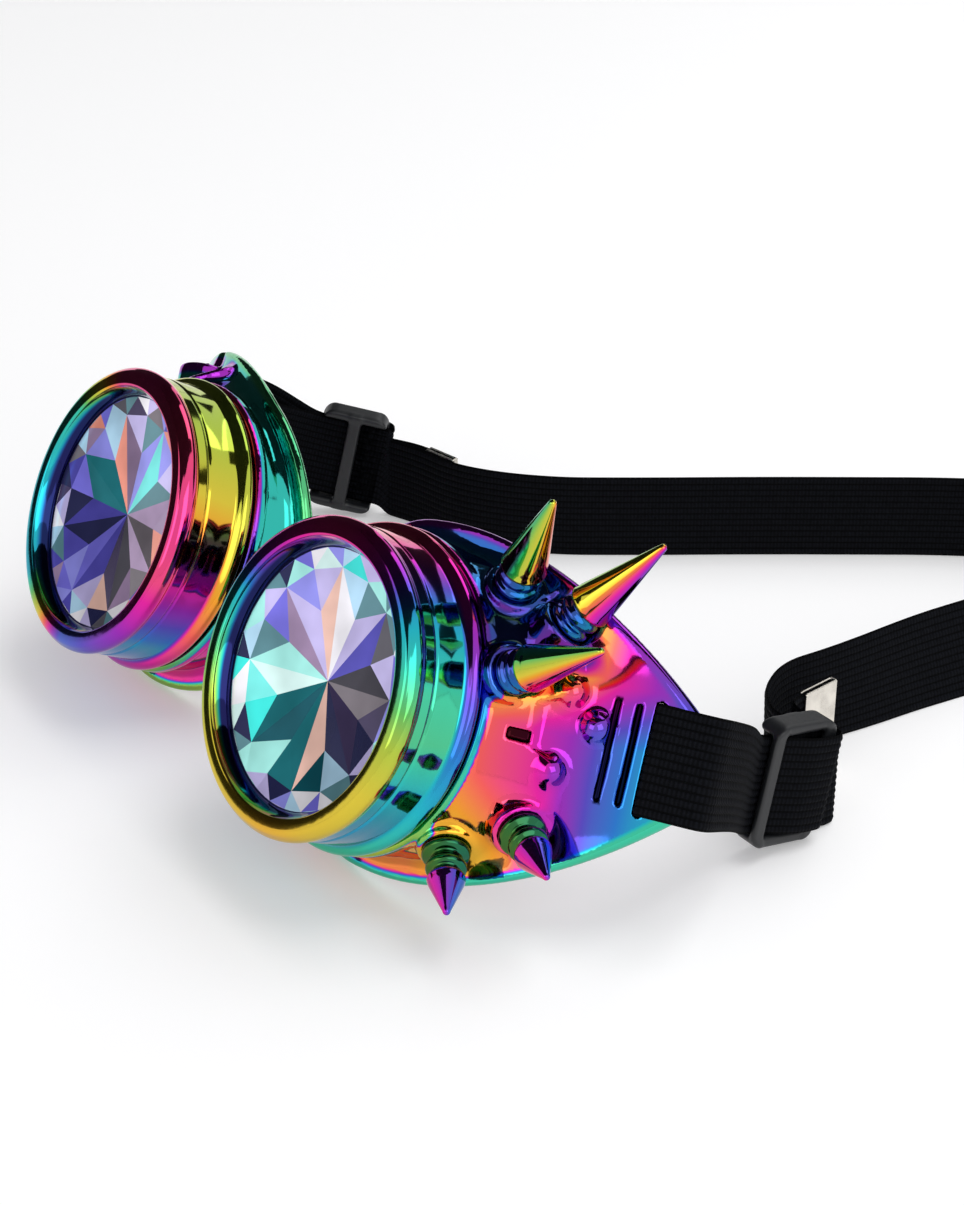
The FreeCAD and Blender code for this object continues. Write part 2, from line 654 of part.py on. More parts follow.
def make_slider(side):
    """Three-bar slider: the end bars cross outside the strap and the middle bar inside it."""
    body = doc.addObject("PartDesign::Body", "slider_" + side + "_body")
    frame = body_sketch(body, "XY_Plane", side + "_slider_frame")
    rectangle(frame, "-slider_length / 2", "slider_length / 2", "-slider_height / 2", "slider_height / 2")
    pad = body.newObject("PartDesign::Pad", side + "_slider_pad")
    pad.Profile = frame
    pad.SideType = "Symmetric"
    bind(pad, Length=f"2 * ({CHANNEL} + slider_bar_thickness)")
    doc.recompute()
    rounding = body.newObject("PartDesign::Fillet", side + "_slider_rounding")
    upright = [f"Edge{k}" for k, edge in enumerate(pad.Shape.Edges, 1)
               if abs(edge.tangentAt(edge.FirstParameter).z) > HALF_ROOT]
    rounding.Base = (pad, upright)
    bind(rounding, Radius="slider_corner")
    window = "slider_height / 2 - slider_rail"
    inner = "slider_length / 2 - slider_bar"
    holes = body_sketch(body, "XY_Plane", side + "_slider_windows")
    for left, right in ((f"-({inner})", "-slider_bar / 2"), ("slider_bar / 2", inner)):
        rectangle(holes, left, right, f"-({window})", window)
    openings = body.newObject("PartDesign::Pocket", side + "_slider_openings")
    openings.Profile = holes
    openings.SideType = "Symmetric"
    bind(openings, Length=f"2 * ({CHANNEL} + slider_bar_thickness + overrun)")
    doc.recompute()
    lane = body_sketch(body, "XZ_Plane", side + "_slider_lane")
    past = f"{CHANNEL} + slider_bar_thickness + overrun"
    outside = "slider_length / 2 + overrun"
    rectangle(lane, f"-({outside})", f"-({inner})", f"-({past})", CHANNEL)
    rectangle(lane, inner, outside, f"-({past})", CHANNEL)
    rectangle(lane, "-slider_bar / 2", "slider_bar / 2", f"-({CHANNEL})", past)
    passage = body.newObject("PartDesign::Pocket", side + "_slider_passage")
    passage.Profile = lane
    passage.SideType = "Symmetric"
    bind(passage, Length=f"2 * ({window})")
    keep("slider_" + side, body, slider_place(side))


def make_fold(side):
    """Fold of strap that comes up behind the slider's front bar and rides over its rear bar."""
    body = doc.addObject("PartDesign::Body", "fold_" + side + "_body")
    section = body_sketch(body, "XZ_Plane", side + "_fold_section")
    near = "slider_bar + soft_gap - slider_length / 2"
    far = "slider_length / 2 + soft_gap"
    foot = "strap_thickness + layer_gap / 2 + soft_gap / 2"
    crown = f"{CHANNEL} + slider_bar_thickness + soft_gap"
    foot_share, crown_share = FOLD_SHARES
    outline(section, (near, foot), (f"{near} + {foot_share} * strap_thickness", foot),
            (f"slider_bar / 2 + {crown_share} * strap_thickness", crown), (far, crown), (far, foot),
            (f"{far} + strap_thickness", foot), (f"{far} + strap_thickness", f"{crown} + strap_thickness"),
            ("slider_bar / 2", f"{crown} + strap_thickness"))
    pad = body.newObject("PartDesign::Pad", side + "_fold_pad")
    pad.Profile = section
    pad.SideType = "Symmetric"
    bind(pad, Length="strap_width")
    keep("strap_fold_" + side, body, slider_place(side))


def ribbon(points, widths):
    """Strap of even thickness through points, each with its width as a vector, mitred where it turns."""
    thick = size("strap_thickness")
    normals = [(after - before).cross(wide).normalize()
               for before, after, wide in zip(points, points[1:], widths)]
    rings = []
    for k, (centre, wide) in enumerate(zip(points, widths)):
        one = normals[max(k - 1, 0)]
        other = normals[min(k, len(normals) - 1)]
        across = (one + other) * (thick / (1 + one.dot(other)))
        corners = [(-0.5, -0.5), (0.5, -0.5), (0.5, 0.5), (-0.5, 0.5)]
        rings.append([centre + across * a + wide * b for a, b in corners])
    faces = [Part.Face(Part.makePolygon(ring + ring[:1])) for ring in (rings[0], rings[-1])]
    for ring, following in zip(rings, rings[1:]):
        for k in range(len(ring)):
            rails = [Part.LineSegment(loop[k - 1], loop[k]).toShape() for loop in (ring, following)]
            faces.append(Part.makeRuledSurface(*rails))
    shell = Part.makeShell(faces)
    shell.sewShape()
    solid = Part.makeSolid(shell)
    if solid.Volume < 0:
        solid.reverse()
    return solid


def route_wire(points):
    """Straight runs joined by tangent arcs, each as large as its two runs allow."""
    edges = []
    start = points[0]
    for before, corner, after in zip(points, points[1:], points[2:]):
        into = corner - before
        out = after - corner
        turn = into.getAngle(out)
        reach = BEND_SHARE * min(into.Length, out.Length)
        into.normalize()
        out.normalize()
        entry = corner - into * reach
        leave = corner + out * reach
        radius = reach / math.tan(turn / 2)
        middle = corner + (out - into).normalize() * (radius / math.cos(turn / 2) - radius)
        edges += [Part.LineSegment(start, entry).toShape(), Part.Arc(entry, middle, leave).toShape()]
        start = leave
    edges.append(Part.LineSegment(start, points[-1]).toShape())
    return Part.Wire(edges)


def standing(points):
    """Strap on edge on the table, along a route of plan points."""
    half = size("strap_thickness") / 2
    wire = route_wire(points)
    sides = [wire.makeOffset2D(shift, 0, False, True) for shift in (half, -half)]
    ends = [[side.OrderedVertexes[0].Point, side.OrderedVertexes[-1].Point] for side in sides]
    caps = [Part.LineSegment(a, b).toShape() for a, b in zip(*ends)]
    face = Part.Face(Part.Wire(Part.__sortEdges__(sides[0].Edges + sides[1].Edges + caps)))
    return face.extrude(Vector(0, 0, size("strap_width")))


def plan_points(shares):
    start = slider_spot("left")
    return [Vector(x * start.x, start.y + y * size("strap_reach"), start.z) for x, y in shares]


def layer_point(side, x, layer):
    """Middle of a strap layer in its slider's frame: layer 1 lies outside, layer -1 next to the head."""
    offset = layer * (size("strap_thickness") + size("layer_gap")) / 2
    return slider_place(side).multVec(Vector(x, 0, offset))


def run_end():
    return size("slider_length") / 2 + size("strap_margin")


def landing(side, layer):
    """Foot of the strap where it comes to stand on the table behind its slider."""
    spot = layer_point(side, run_end() + size("strap_landing"), layer)
    return Vector(spot.x, spot.y, rest_level())


def settling(side, layer):
    """Short run in which a strap layer comes upright between its slider and the table."""
    hand = 1 if side == "left" else -1
    lean = slider_place(side).Rotation.multVec(Vector(0, hand * size("strap_width"), 0))
    upright = Vector(0, 0, size("strap_width"))
    return [landing(side, layer) + upright * 0.5, layer_point(side, run_end(), layer)], [upright, lean]


def make_loop(side):
    """Strap from its free end through the slider, round the temple bar of the cup and back to the slider."""
    hand = 1 if side == "left" else -1
    cup = cup_place()
    wide = size("strap_width")
    skin = size("soft_gap") + size("strap_thickness") / 2

    def in_cup(vector):
        spot = cup.multVec(vector)
        return Vector(hand * spot.x, spot.y, spot.z)

    tilt = in_cup(Vector(0, wide, 0)) - in_cup(Vector(0, 0, 0))
    front = size(FACE_FRONT)
    slot = [flange_arc(size(SLOT_PLACE), radius) for radius in (front + skin, size("face_radius") - skin)]
    edge = flange_arc(size("flange_reach"), front) + Vector(skin, 0, skin)
    tip = [edge, edge - Vector(0, 0, 2 * size("flange_thickness"))]
    begin = -size("slider_length") / 2 - size("slider_travel") - size("soft_gap")
    tail, tail_widths = settling(side, 1)
    lean = tail_widths[-1]
    points = tail + [layer_point(side, begin, 1)] + [in_cup(spot) for spot in tip[::-1] + slot]
    points += [layer_point(side, begin, -1), layer_point(side, run_end(), -1)]
    widths = tail_widths + [lean] + [tilt] * 4 + [lean] * 2
    free = standing([landing(side, 1)] + plan_points(TAIL_SHARES[side]))
    loop = doc.addObject("Part::Feature", "loop_" + side)
    loop.Shape = ribbon(points, widths).fuse(free).removeSplitter()
    keep("strap_loop_" + side, loop, Placement())


def make_clip(side):
    """Metal clip crimped over the free end of the strap."""
    before, end = plan_points(TAIL_SHARES[side])[-2:]
    along = (end - before).normalize()
    place = Placement(end, Rotation(along, Vector(0, 0, 1).cross(along), Vector(0, 0, 1), "XYZ"))
    shell = doc.addObject("Part::Box", "clip_shell_" + side)
    bind(shell, Length="clip_length + clip_plate", Width="strap_thickness + 2 * clip_plate",
         Height="strap_width")
    half = size("strap_thickness") / 2
    shell.Placement = Placement(Vector(-size("clip_length"), -half - size("clip_plate"), 0), Rotation())
    gap = doc.addObject("Part::Box", "clip_gap_" + side)
    bind(gap, Length="clip_length + overrun", Width="strap_thickness", Height="strap_width + 2 * overrun")
    mouth = -size("clip_length") - size("overrun")
    gap.Placement = Placement(Vector(mouth, -half, -size("overrun")), Rotation())
    clip = cut("clip_" + side, shell, gap)
    keep("strap_end_clip_" + side, clip, place)


def make_band():
    """Long elastic band behind the head, standing on its edge on the table between the two sliders."""
    route = [landing("left", -1)] + plan_points(BAND_SHARES) + [landing("right", -1)]
    band = doc.addObject("Part::Feature", "band")
    band.Shape = standing(route).fuse([ribbon(*settling(side, -1)) for side in RUN_ANGLES]).removeSplitter()
    keep("strap_band", band, Placement())


def settle():
    """Stand the whole part on z = 0 with the middle of its plan on the origin."""
    doc.recompute()
    box = FreeCAD.BoundBox()
    for feature in pieces.values():
        box.add(feature.Shape.optimalBoundingBox(False, False))
    shift = Placement(Vector(0, -(box.YMin + box.YMax) / 2, -box.ZMin), Rotation())
    for feature in pieces.values():
        if feature.TypeId != "Part::Mirroring":
            feature.Placement = shift * feature.Placement
    doc.recompute()
    return shift


def check():
    for item in doc.Objects:
        if "Invalid" in item.State or "Error" in item.State:
            raise RuntimeError(f"{item.Label}: {item.State}")
    for node, feature in pieces.items():
        if feature.Shape.isNull() or not feature.Shape.isValid() or not feature.Shape.Solids:
            raise RuntimeError(f"{node}: bad shape")


make_cup()
make_rim()
make_lens()
make_gasket()
make_spikes()
make_bridge()
doc.recompute()
for hand_side in ("left", "right"):
    make_slider(hand_side)
    make_fold(hand_side)
    make_loop(hand_side)
    make_clip(hand_side)
make_band()
SHIFT = settle()
check()
os.makedirs("parts", exist_ok=True)
for node_name, piece in pieces.items():
    piece.Shape.exportStep(f"parts/{node_name}.step")
    print(f"{node_name}: {len(piece.Shape.Solids)} solid, {piece.Shape.Volume:.1f} mm3")
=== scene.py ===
"""Looks of a pair of steampunk goggles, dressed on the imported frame.

Lengths in the formulas are millimetres in a cup's own frame (x to the temple, y up, z forward out of the
lens, z = 0 at the crest of the rim's front bead) or in a slider's (x along the strap, z away from the
head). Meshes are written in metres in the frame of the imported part.
"""

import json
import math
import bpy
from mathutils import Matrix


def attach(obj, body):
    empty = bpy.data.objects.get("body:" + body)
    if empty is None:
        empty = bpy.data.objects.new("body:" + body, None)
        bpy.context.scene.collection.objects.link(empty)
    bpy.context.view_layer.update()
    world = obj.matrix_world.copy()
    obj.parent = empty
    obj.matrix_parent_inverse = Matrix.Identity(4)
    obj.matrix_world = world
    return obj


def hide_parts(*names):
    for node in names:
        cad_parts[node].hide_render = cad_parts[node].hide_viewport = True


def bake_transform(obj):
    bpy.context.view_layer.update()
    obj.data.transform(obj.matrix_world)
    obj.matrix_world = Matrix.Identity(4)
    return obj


bl_info = {
    "name": "Steampunk goggles",
    "version": (1, 0, 0),
    "blender": (4, 5, 0),
    "location": "3D View > Sidebar > Goggles",
    "description": "Builds plated eye cups, cut lenses, spikes and an elastic strap on a packed frame",
    "category": "Object",
}

import bmesh
import bpy
import numpy as np
from bpy.props import FloatProperty, FloatVectorProperty, IntProperty, PointerProperty
from mathutils import Matrix, Vector

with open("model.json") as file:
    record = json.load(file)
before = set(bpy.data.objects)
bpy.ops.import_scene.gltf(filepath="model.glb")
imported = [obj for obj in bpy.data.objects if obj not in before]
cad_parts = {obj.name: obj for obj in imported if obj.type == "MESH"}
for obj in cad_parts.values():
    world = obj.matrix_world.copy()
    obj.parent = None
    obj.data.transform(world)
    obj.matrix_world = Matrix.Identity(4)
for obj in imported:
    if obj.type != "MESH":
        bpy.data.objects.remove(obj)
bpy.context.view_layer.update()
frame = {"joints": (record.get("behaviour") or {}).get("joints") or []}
HANDS = {"left": 1, "right": -1}

# Sizes of the solids, restated in millimetres and degrees, and of the finer forms laid on them
SPACING = 84.0
CUP_TILT = 27.8
CUP_TOE = 1.5
CUP_ROLL = 15.0
NECK_R = 30.0
NECK_W = 16.0
WALL = 2.0
SHOULDER_R = 32.0
SHOULDER_W = (15.4, 18.4)
BARREL_R = 27.2
BARREL_BORE = 25.4
BARREL_W = (5.3, 18.4)
BORE_PAST = 4.0
THREAD_PITCH = 3.0
THREAD_WAVE = 0.28
THREAD_CREST = 0.2
FACE_W = 25.0
FACE_R = 90.0
FLANGE_T = 2.2
FLANGE_R = 34.5
FLANGE_REACH = 61.0
SKIRT_REACH = 62.8
SKIRT_W = 52.026
SKIRT_SHARES = (0.876, 0.800, 0.478, 1.210)
FLANGE_SHARES = (0.943, 0.275, 0.541, 0.820)
BOSS_R = 5.5
BOSS_H = 2.8
BOSS_ROOT = 1.2
RIM_ROOM_R = 32.7
RIM_ROOM_W = 15.2
SEAT_R = 3.1
SEAT_SPAN = (-12.0, 0.3)
BORE_R = 1.6
BORE_SPAN = (-8.0, 8.0)
COLLAR_ROOM_R = 4.6
COLLAR_ROOM_H = 8.0
# Polar angle, stand off the wall, share of the depth, swing, tilt and length
SPIKES = {
    "long_spike_upper": (45.0, -0.113, 0.811, 0.0, 25.0, 20.0),
    "long_spike_middle": (28.9, 0.008, 1.256, 17.0, -6.0, 20.0),
    "long_spike_lower": (16.0, 0.003, 0.311, 2.6, 5.0, 20.0),
    "short_spike_front": (-45.4, -0.105, 0.644, -1.0, 20.6, 10.0),
    "short_spike_rear": (-26.2, 0.020, 1.233, 2.2, 15.0, 10.0),
}
DOMES = ((40.19, 8.91), (44.53, 3.51), (39.88, -5.91))
DOME_R = 2.8
DOME_SINK = (-2.5, -0.2)
NOTCHES = ((-1.4, 35.46), (-24.0, 37.68), (22.0, 36.45), (-46.0, 37.44))
NOTCH_HALF = (2.2, 1.1)
NOTCH_SPAN = (-0.7, 1.7)
VENTS = (46.5, 49.2)
VENT_HALF = (0.55, 9.5)
VENT_SPAN = (-1.2, 4.8)
SLOT_X = 52.3
SLOT_HALF = (0.7, 10.5)
SLOT_SPAN = (-4.0, 4.0)
COG_RELIEF = 1.15
COG_TEETH = 12
COG_TURN = 12.5
COG_ROOT_R = 37.7
COG_TOOTH = 4.4
LUG_X = (28.6, 37.0)
LUG_HALF = 8.5
LUG_Z = (-24.5, -20.5)
LUG_WINDOW_X = 4.402
LUG_WINDOW_HALF = (1.0, 6.3, 9.0)
RIB_SPREAD = 1.65
RIB_REACH = 0.965
RIBBON_CORE = 0.28
RIBBON_HALF = (0.485, 0.497)
STRAP_W = 21.0
STRAP_T = 0.9
LAYER_GAP = 0.2
STRAP_REACH = 170.0
LANDING = 1.0
LOOP_SLOT_X = 52.0
LOOP_EDGE = Vector((1.0, 0, 0.95))
LOOP_TIP = Vector((0, 0, 3.1))
LOOP_START = 1.0
LOOP_REACHES = [2.0, 3.0, 8.0, 4.0, 1.6, 1.1, 1.1, 3.0, 2.0]
SKIN_GAP = 0.3
SLIDER_REACH = 2.0
TAIL_REACH = 9.0
BAND_REACH = 30.0
RUN_OUT = 0.8
LOOP_END = 8.2
HIDDEN_END = 1.6
SWELL = (1.4, 1.8)
SWELL_SHARE = 0.45
FOLD_PATH = ((-4.9, 1.55), (-2.0, 2.6), (1.0, 3.75), (4.5, 4.15), (8.2, 4.0), (9.35, 2.9), (9.3, 1.5))
FOLD_EASE = 2.2
FOLD_STEP = 0.7
NOSE_W = 12.0
NOSE_T = 1.2
NOSE_RIBS = 9
NOSE_RIB_R = 0.00055
NOSE_X = 32.6
NOSE_Z = (-19.6, -25.4)
NOSE_EASE = 1.4
NOSE_STEP = 0.8
SLIDER_L = 17.0
SLIDER_H = 27.0
SLIDER_BAR = 3.2
SLIDER_RAIL = 2.6
SLIDER_BAR_T = 1.6
CHANNEL = 1.3
BAR_INSET = 0.4
SLIDER_DIP = 12.0
CLIP_SPAN = (-9.0, 0.5)
CLIP_T = 0.5
SLIDER_PLACES = {"left": (-0.775, 1.822), "right": (-0.820, 2.072)}
RUN_ANGLES = {"left": 2.0, "right": -39.0}
TAIL_ROUTES = {
    "left": [(1.000, 0.081), (0.890, 0.074), (0.827, 0.078), (0.808, 0.153)],
    "right": [(-0.832, 0.099), (-0.700, 0.113)],
}
BAND_ROUTE = [
    (0.985, 0.068), (0.850, 0.047), (0.763, 0.072), (0.697, 0.128), (0.722, 0.201), (0.735, 0.259),
    (0.743, 0.340), (0.758, 0.409), (0.786, 0.543), (0.825, 0.690), (0.859, 0.851), (0.835, 0.976),
    (0.738, 0.999), (0.612, 0.947), (0.456, 0.829), (0.194, 0.682), (-0.126, 0.443), (-0.299, 0.307),
    (-0.438, 0.203), (-0.556, 0.143), (-0.676, 0.103), (-0.820, 0.088),
]
BAND_LEAN = ((0, 3, 7, 10, 13, 21), (0.0, 4.0, 22.0, 24.0, 0.0, 0.0))


def joint(name):
    return next(j for j in frame["joints"] if j["name"] == name)


def turn(degrees, axis):
    return Matrix.Rotation(math.radians(degrees), 4, axis)


CENTRE = Vector(joint("rim_left_unscrew")["pos_m"]) * 1000
CUP = Matrix.Translation(CENTRE) @ turn(90 - CUP_TILT, "X") @ turn(CUP_TOE, "Y") @ turn(CUP_ROLL, "Z")
MIDDLE = Matrix.Translation(CENTRE - Vector((SPACING / 2, 0, 0))) @ turn(90 - CUP_TILT, "X")


class GoggleSizes(bpy.types.PropertyGroup):
    """Sizes a user may change without leaving the solids."""
    cup_step: FloatProperty(name="Cup mesh step", description="Grid of the cup's skin, in millimetres",
                            default=0.5, min=0.3, max=1.5)
    rim_segments: IntProperty(name="Rim segments", description="Faces round a rim", default=224, min=48)
    rib_count: IntProperty(name="Strap ribs", description="Lengthwise ribs of the strap", default=13, min=3)
    rib_radius: FloatProperty(name="Rib radius", description="Radius of a rib", default=0.00046,
                              unit="LENGTH", precision=5)
    strap_step: FloatProperty(name="Strap step", description="Spacing of the strap's rings, in millimetres",
                              default=1.6, min=0.5)


class GoggleFinish(bpy.types.PropertyGroup):
    """Colours and finishes."""
    plating_roughness: FloatProperty(name="Plating roughness", description="Blur of the plating",
                                     default=0.07, min=0.0, max=1.0, subtype="FACTOR")
    strap_colour: FloatVectorProperty(name="Strap", description="Elastic strap", subtype="COLOR",
                                      default=(0.0034, 0.0038, 0.0054))
    slider_colour: FloatVectorProperty(name="Sliders", description="Moulded sliders", subtype="COLOR",
                                       default=(0.0095, 0.0105, 0.0125))
    clip_colour: FloatVectorProperty(name="Clips", description="Strap end clips", subtype="COLOR",
                                     default=(0.74, 0.70, 0.63))
    steel_colour: FloatVectorProperty(name="Screws", description="Spike screws", subtype="COLOR",
                                      default=(0.55, 0.55, 0.57))
    gasket_colour: FloatVectorProperty(name="Gaskets", description="Soft rings behind the lenses",
                                       subtype="COLOR", default=(0.012, 0.012, 0.013))
    floor_colour: FloatVectorProperty(name="Floor", description="Studio floor", subtype="COLOR",
                                      default=(0.80, 0.80, 0.81))


def sizes():
    return bpy.context.scene.goggle_sizes


def finish():
    return bpy.context.scene.goggle_finish


# Meshes


def placed(points, place, hand=1):
    """Points in millimetres in a local frame, as metres in the part's frame; hand -1 mirrors them."""
    matrix = np.array(place)
    out = (np.asarray(points, float) @ matrix[:3, :3].T + matrix[:3, 3]) / 1000
    out[:, 0] *= hand
    return out


def new_object(name, mesh):
    obj = bpy.data.objects.new(name, mesh)
    bpy.context.scene.collection.objects.link(obj)
    return obj


def mesh_object(name, points, faces, shown=None, smooth=True):
    mesh = bpy.data.meshes.new(name)
    mesh.from_pydata([tuple(p) for p in points], [], [tuple(f) for f in faces])
    mesh.validate()
    mesh.update()
    if shown:
        mesh.materials.append(shown)
    mesh.polygons.foreach_set("use_smooth", [smooth] * len(mesh.polygons))
    return new_object(name, mesh)


def cup_piece(name, side, points, faces, shown, smooth=True):
    """A piece of one cup from points in the left cup's frame, mirrored for the right one."""
    hand = HANDS[side]
    faces = faces if hand > 0 else [tuple(f)[::-1] for f in faces]
    return mesh_object(name + side, placed(points, CUP, hand), faces, shown, smooth)


def close_up(obj):
    """Welds the corners of facets that meet, keeping each facet's order."""
    work = bmesh.new()
    work.from_mesh(obj.data)
    bmesh.ops.remove_doubles(work, verts=work.verts, dist=1e-6)
    work.to_mesh(obj.data)
    work.free()


def store(obj, name, values):
    layer = obj.data.attributes.new(name, "FLOAT", "POINT")
    layer.data.foreach_set("value", np.asarray(values, np.float32))


def per_vertex(values, key):
    out = np.zeros(len(values) * 3, np.float32)
    values.foreach_get(key, out)
    return out.reshape(-1, 3)


def skin(field, low, high, step):
    """Quads on the zero level of a field over a box, drawn on to the level itself."""
    axes = [np.arange(a, b + step, step) for a, b in zip(low, high)]
    grid = np.meshgrid(*axes, indexing="ij")
    values = field(*grid).astype(np.float32)
    inside = values < 0
    corners = [(i, j, k) for i in (0, 1) for j in (0, 1) for k in (0, 1)]
    shape = [n - 1 for n in values.shape]
    count = np.zeros(shape, np.int8)
    for i, j, k in corners:
        count += inside[i:i + shape[0], j:j + shape[1], k:k + shape[2]]
    cells = np.argwhere((count > 0) & (count < 8))
    index = np.full(shape, -1, np.int64)
    index[tuple(cells.T)] = np.arange(len(cells))
    total = np.zeros((len(cells), 3))
    hits = np.zeros(len(cells))
    for a in corners:
        for axis in range(3):
            if a[axis]:
                continue
            b = tuple(v + (n == axis) for n, v in enumerate(a))
            va = values[tuple((cells + a).T)]
            vb = values[tuple((cells + b).T)]
            crosses = (va < 0) != (vb < 0)
            share = np.where(crosses, va / np.where(crosses, va - vb, 1), 0)
            spot = cells + np.array(a, float)
            spot[:, axis] += share
            total += spot * crosses[:, None]
            hits += crosses
    points = np.array(low) + total / hits[:, None] * step
    quads = []
    for axis in range(3):
        one, two = [n for n in range(3) if n != axis]
        first = inside.take(range(values.shape[axis] - 1), axis)
        second = inside.take(range(1, values.shape[axis]), axis)
        for leaving in (True, False):
            edges = np.argwhere(first & ~second if leaving else ~first & second)
            keep = (edges[:, one] > 0) & (edges[:, two] > 0)
            keep &= (edges[:, one] < shape[one]) & (edges[:, two] < shape[two])
            edges = edges[keep]
            ring = []
            for da, db in ((0, 0), (1, 0), (1, 1), (0, 1)):
                cell = edges.copy()
                cell[:, one] -= 1 - da
                cell[:, two] -= 1 - db
                ring.append(index[tuple(cell.T)])
            quad = np.stack(ring, 1)
            if leaving == (axis == 1):
                quad = quad[:, ::-1]
            quads.append(quad)
    quads = np.concatenate(quads)
    probe = step * 0.05
    for _ in range(3):
        here = field(*points.T)
        steps = probe * np.eye(3)
        slope = [field(*(points + step_n).T) - field(*(points - step_n).T) for step_n in steps]
        slope = np.stack(slope, 1) / (2 * probe)
        size = np.maximum((slope ** 2).sum(1), 0.05)
        shift = -(here / size)[:, None] * slope
        reach = np.linalg.norm(shift, axis=1)
        points = points + shift * np.minimum(1, 0.5 * step / np.maximum(reach, 1e-9))[:, None]
    return points, quads


def lathe(profile, segments, closed=True):
    """Ring of quads from a section of (radius, z) points that runs with its outside to the right."""
    profile = np.asarray(profile, float)
    angle = np.arange(segments) * 2 * math.pi / segments
    rows = [np.stack([r * np.cos(angle), r * np.sin(angle), np.full(segments, z)], 1) for r, z in profile]
    faces = []
    spans = len(profile) if closed else len(profile) - 1
    for a in range(spans):
        b = (a + 1) % len(profile)
        for k in range(segments):
            n = (k + 1) % segments
            faces.append((a * segments + k, a * segments + n, b * segments + n, b * segments + k))
    if not closed:
        faces.append(tuple(reversed(range(segments))))
        faces.append(tuple(range(spans * segments, (spans + 1) * segments)))
    return np.concatenate(rows), faces


def eased(corners, ease, samples):
    """Closed section with each (r, z) corner rounded."""
    points = []
    for k, corner in enumerate(corners):
        here = np.array(corner, float)
        into = np.array(corners[k - 1], float) - here
        out = np.array(corners[(k + 1) % len(corners)], float) - here
        a = here + into / np.linalg.norm(into) * ease
        b = here + out / np.linalg.norm(out) * ease
        for t in np.linspace(0, 1, samples):
            points.append((1 - t) ** 2 * a + 2 * t * (1 - t) * here + t * t * b)
    return points


def arc(start, over, end, samples):
    """Points of the circle through three (r, z) points."""
    (ax, ay), (bx, by), (cx, cy) = start, over, end
    d = 2 * (ax * (by - cy) + bx * (cy - ay) + cx * (ay - by))
    a, b, c = (x * x + y * y for x, y in (start, over, end))
    ux = (a * (by - cy) + b * (cy - ay) + c * (ay - by)) / d
    uy = (a * (cx - bx) + b * (ax - cx) + c * (bx - ax)) / d
    radius = math.hypot(ax - ux, ay - uy)
    angles = [math.atan2(y - uy, x - ux) for x, y in (start, over, end)]
    sweep = (angles[2] - angles[0]) % (2 * math.pi)
    if (angles[1] - angles[0]) % (2 * math.pi) > sweep:
        sweep -= 2 * math.pi
    return [(ux + radius * math.cos(angles[0] + sweep * t), uy + radius * math.sin(angles[0] + sweep * t))
            for t in np.linspace(0, 1, samples)]


# Fields of the cup


def round_min(a, b, ease):
    """Union of two fields with a fillet."""
    h = np.maximum(ease - np.abs(a - b), 0) / ease
    return np.minimum(a, b) - h * h * ease / 4


def round_max(a, b, ease):
    return -round_min(-a, -b, ease)


def slab(value, low, high):
    """Field of a layer between two limits, exactly zero on both."""
    return np.maximum(low - value, value - high)


def fade(value, start, width):
    """Share from 0 at start to 1 a width further on; a negative width runs the other way."""
    return np.clip((value - start) / width, 0, 1)


def mixed(below, share, above):
    return below * (1 - share) + above * share


def eased_box(distances, ease):
    """Rounded block from its distances along each axis."""
    outside = np.sqrt(sum(np.maximum(d + ease, 0) ** 2 for d in distances))
    inner = distances[0]
    for d in distances[1:]:
        inner = np.maximum(inner, d)
    return outside + np.minimum(inner + ease, 0) - ease


def cut_box(place, half, span, ease, x, y, z):
    """Rounded block of a cut in a local frame: half sizes across, and its span along the frame's axis."""
    px, py, pz = local(place, x, y, z)
    return eased_box([np.abs(px) - half[0], np.abs(py) - half[1], slab(pz, *span)], ease)


def egg_table(nose, reach, shares):
    """Radius of an egg outline at each heading."""
    corner = (shares[0] * reach, shares[1] * nose)
    brow = (shares[2] * reach, shares[3] * nose)
    upper = arc((0.0, nose), brow, corner, 400)
    tip = arc(corner, (reach, 0.0), (corner[0], -corner[1]), 400)
    half = [(math.atan2(y, x), math.hypot(x, y)) for x, y in upper + [p for p in tip if p[1] >= 0]]
    half += [(math.pi, nose), (math.pi / 2 + 1e-4, nose)]
    half.sort()
    return np.array(half)


SKIRT_EGG = egg_table(NECK_R, SKIRT_REACH, SKIRT_SHARES)
FLANGE_EGG = egg_table(FLANGE_R, FLANGE_REACH, FLANGE_SHARES)


def egg_radius(table, heading):
    return np.interp(np.abs(heading), table[:, 0], table[:, 1])


def wall_radius(heading, depth):
    share = np.clip((depth - NECK_W) / (SKIRT_W - NECK_W), 0, 1.2)
    return NECK_R + (egg_radius(SKIRT_EGG, heading) - NECK_R) * share


def spike_frame(name):
    polar, stand, depth_share, swing, tilt, _ = SPIKES[name]
    depth = NECK_W + depth_share * (FACE_W - NECK_W)
    reach = float(wall_radius(np.array(math.radians(polar)), depth)) + stand * BOSS_H
    spot = Vector((reach * math.cos(math.radians(polar)), reach * math.sin(math.radians(polar)), -depth))
    heading, lean = math.radians(polar + swing), math.radians(tilt)
    along = Vector((math.cos(heading) * math.cos(lean), math.sin(heading) * math.cos(lean), math.sin(lean)))
    return Matrix.Translation(spot) @ along.to_track_quat("Z", "Y").to_matrix().to_4x4()


def local(place, x, y, z):
    back = np.array(place.inverted())
    return [back[n, 0] * x + back[n, 1] * y + back[n, 2] * z + back[n, 3] for n in range(3)]


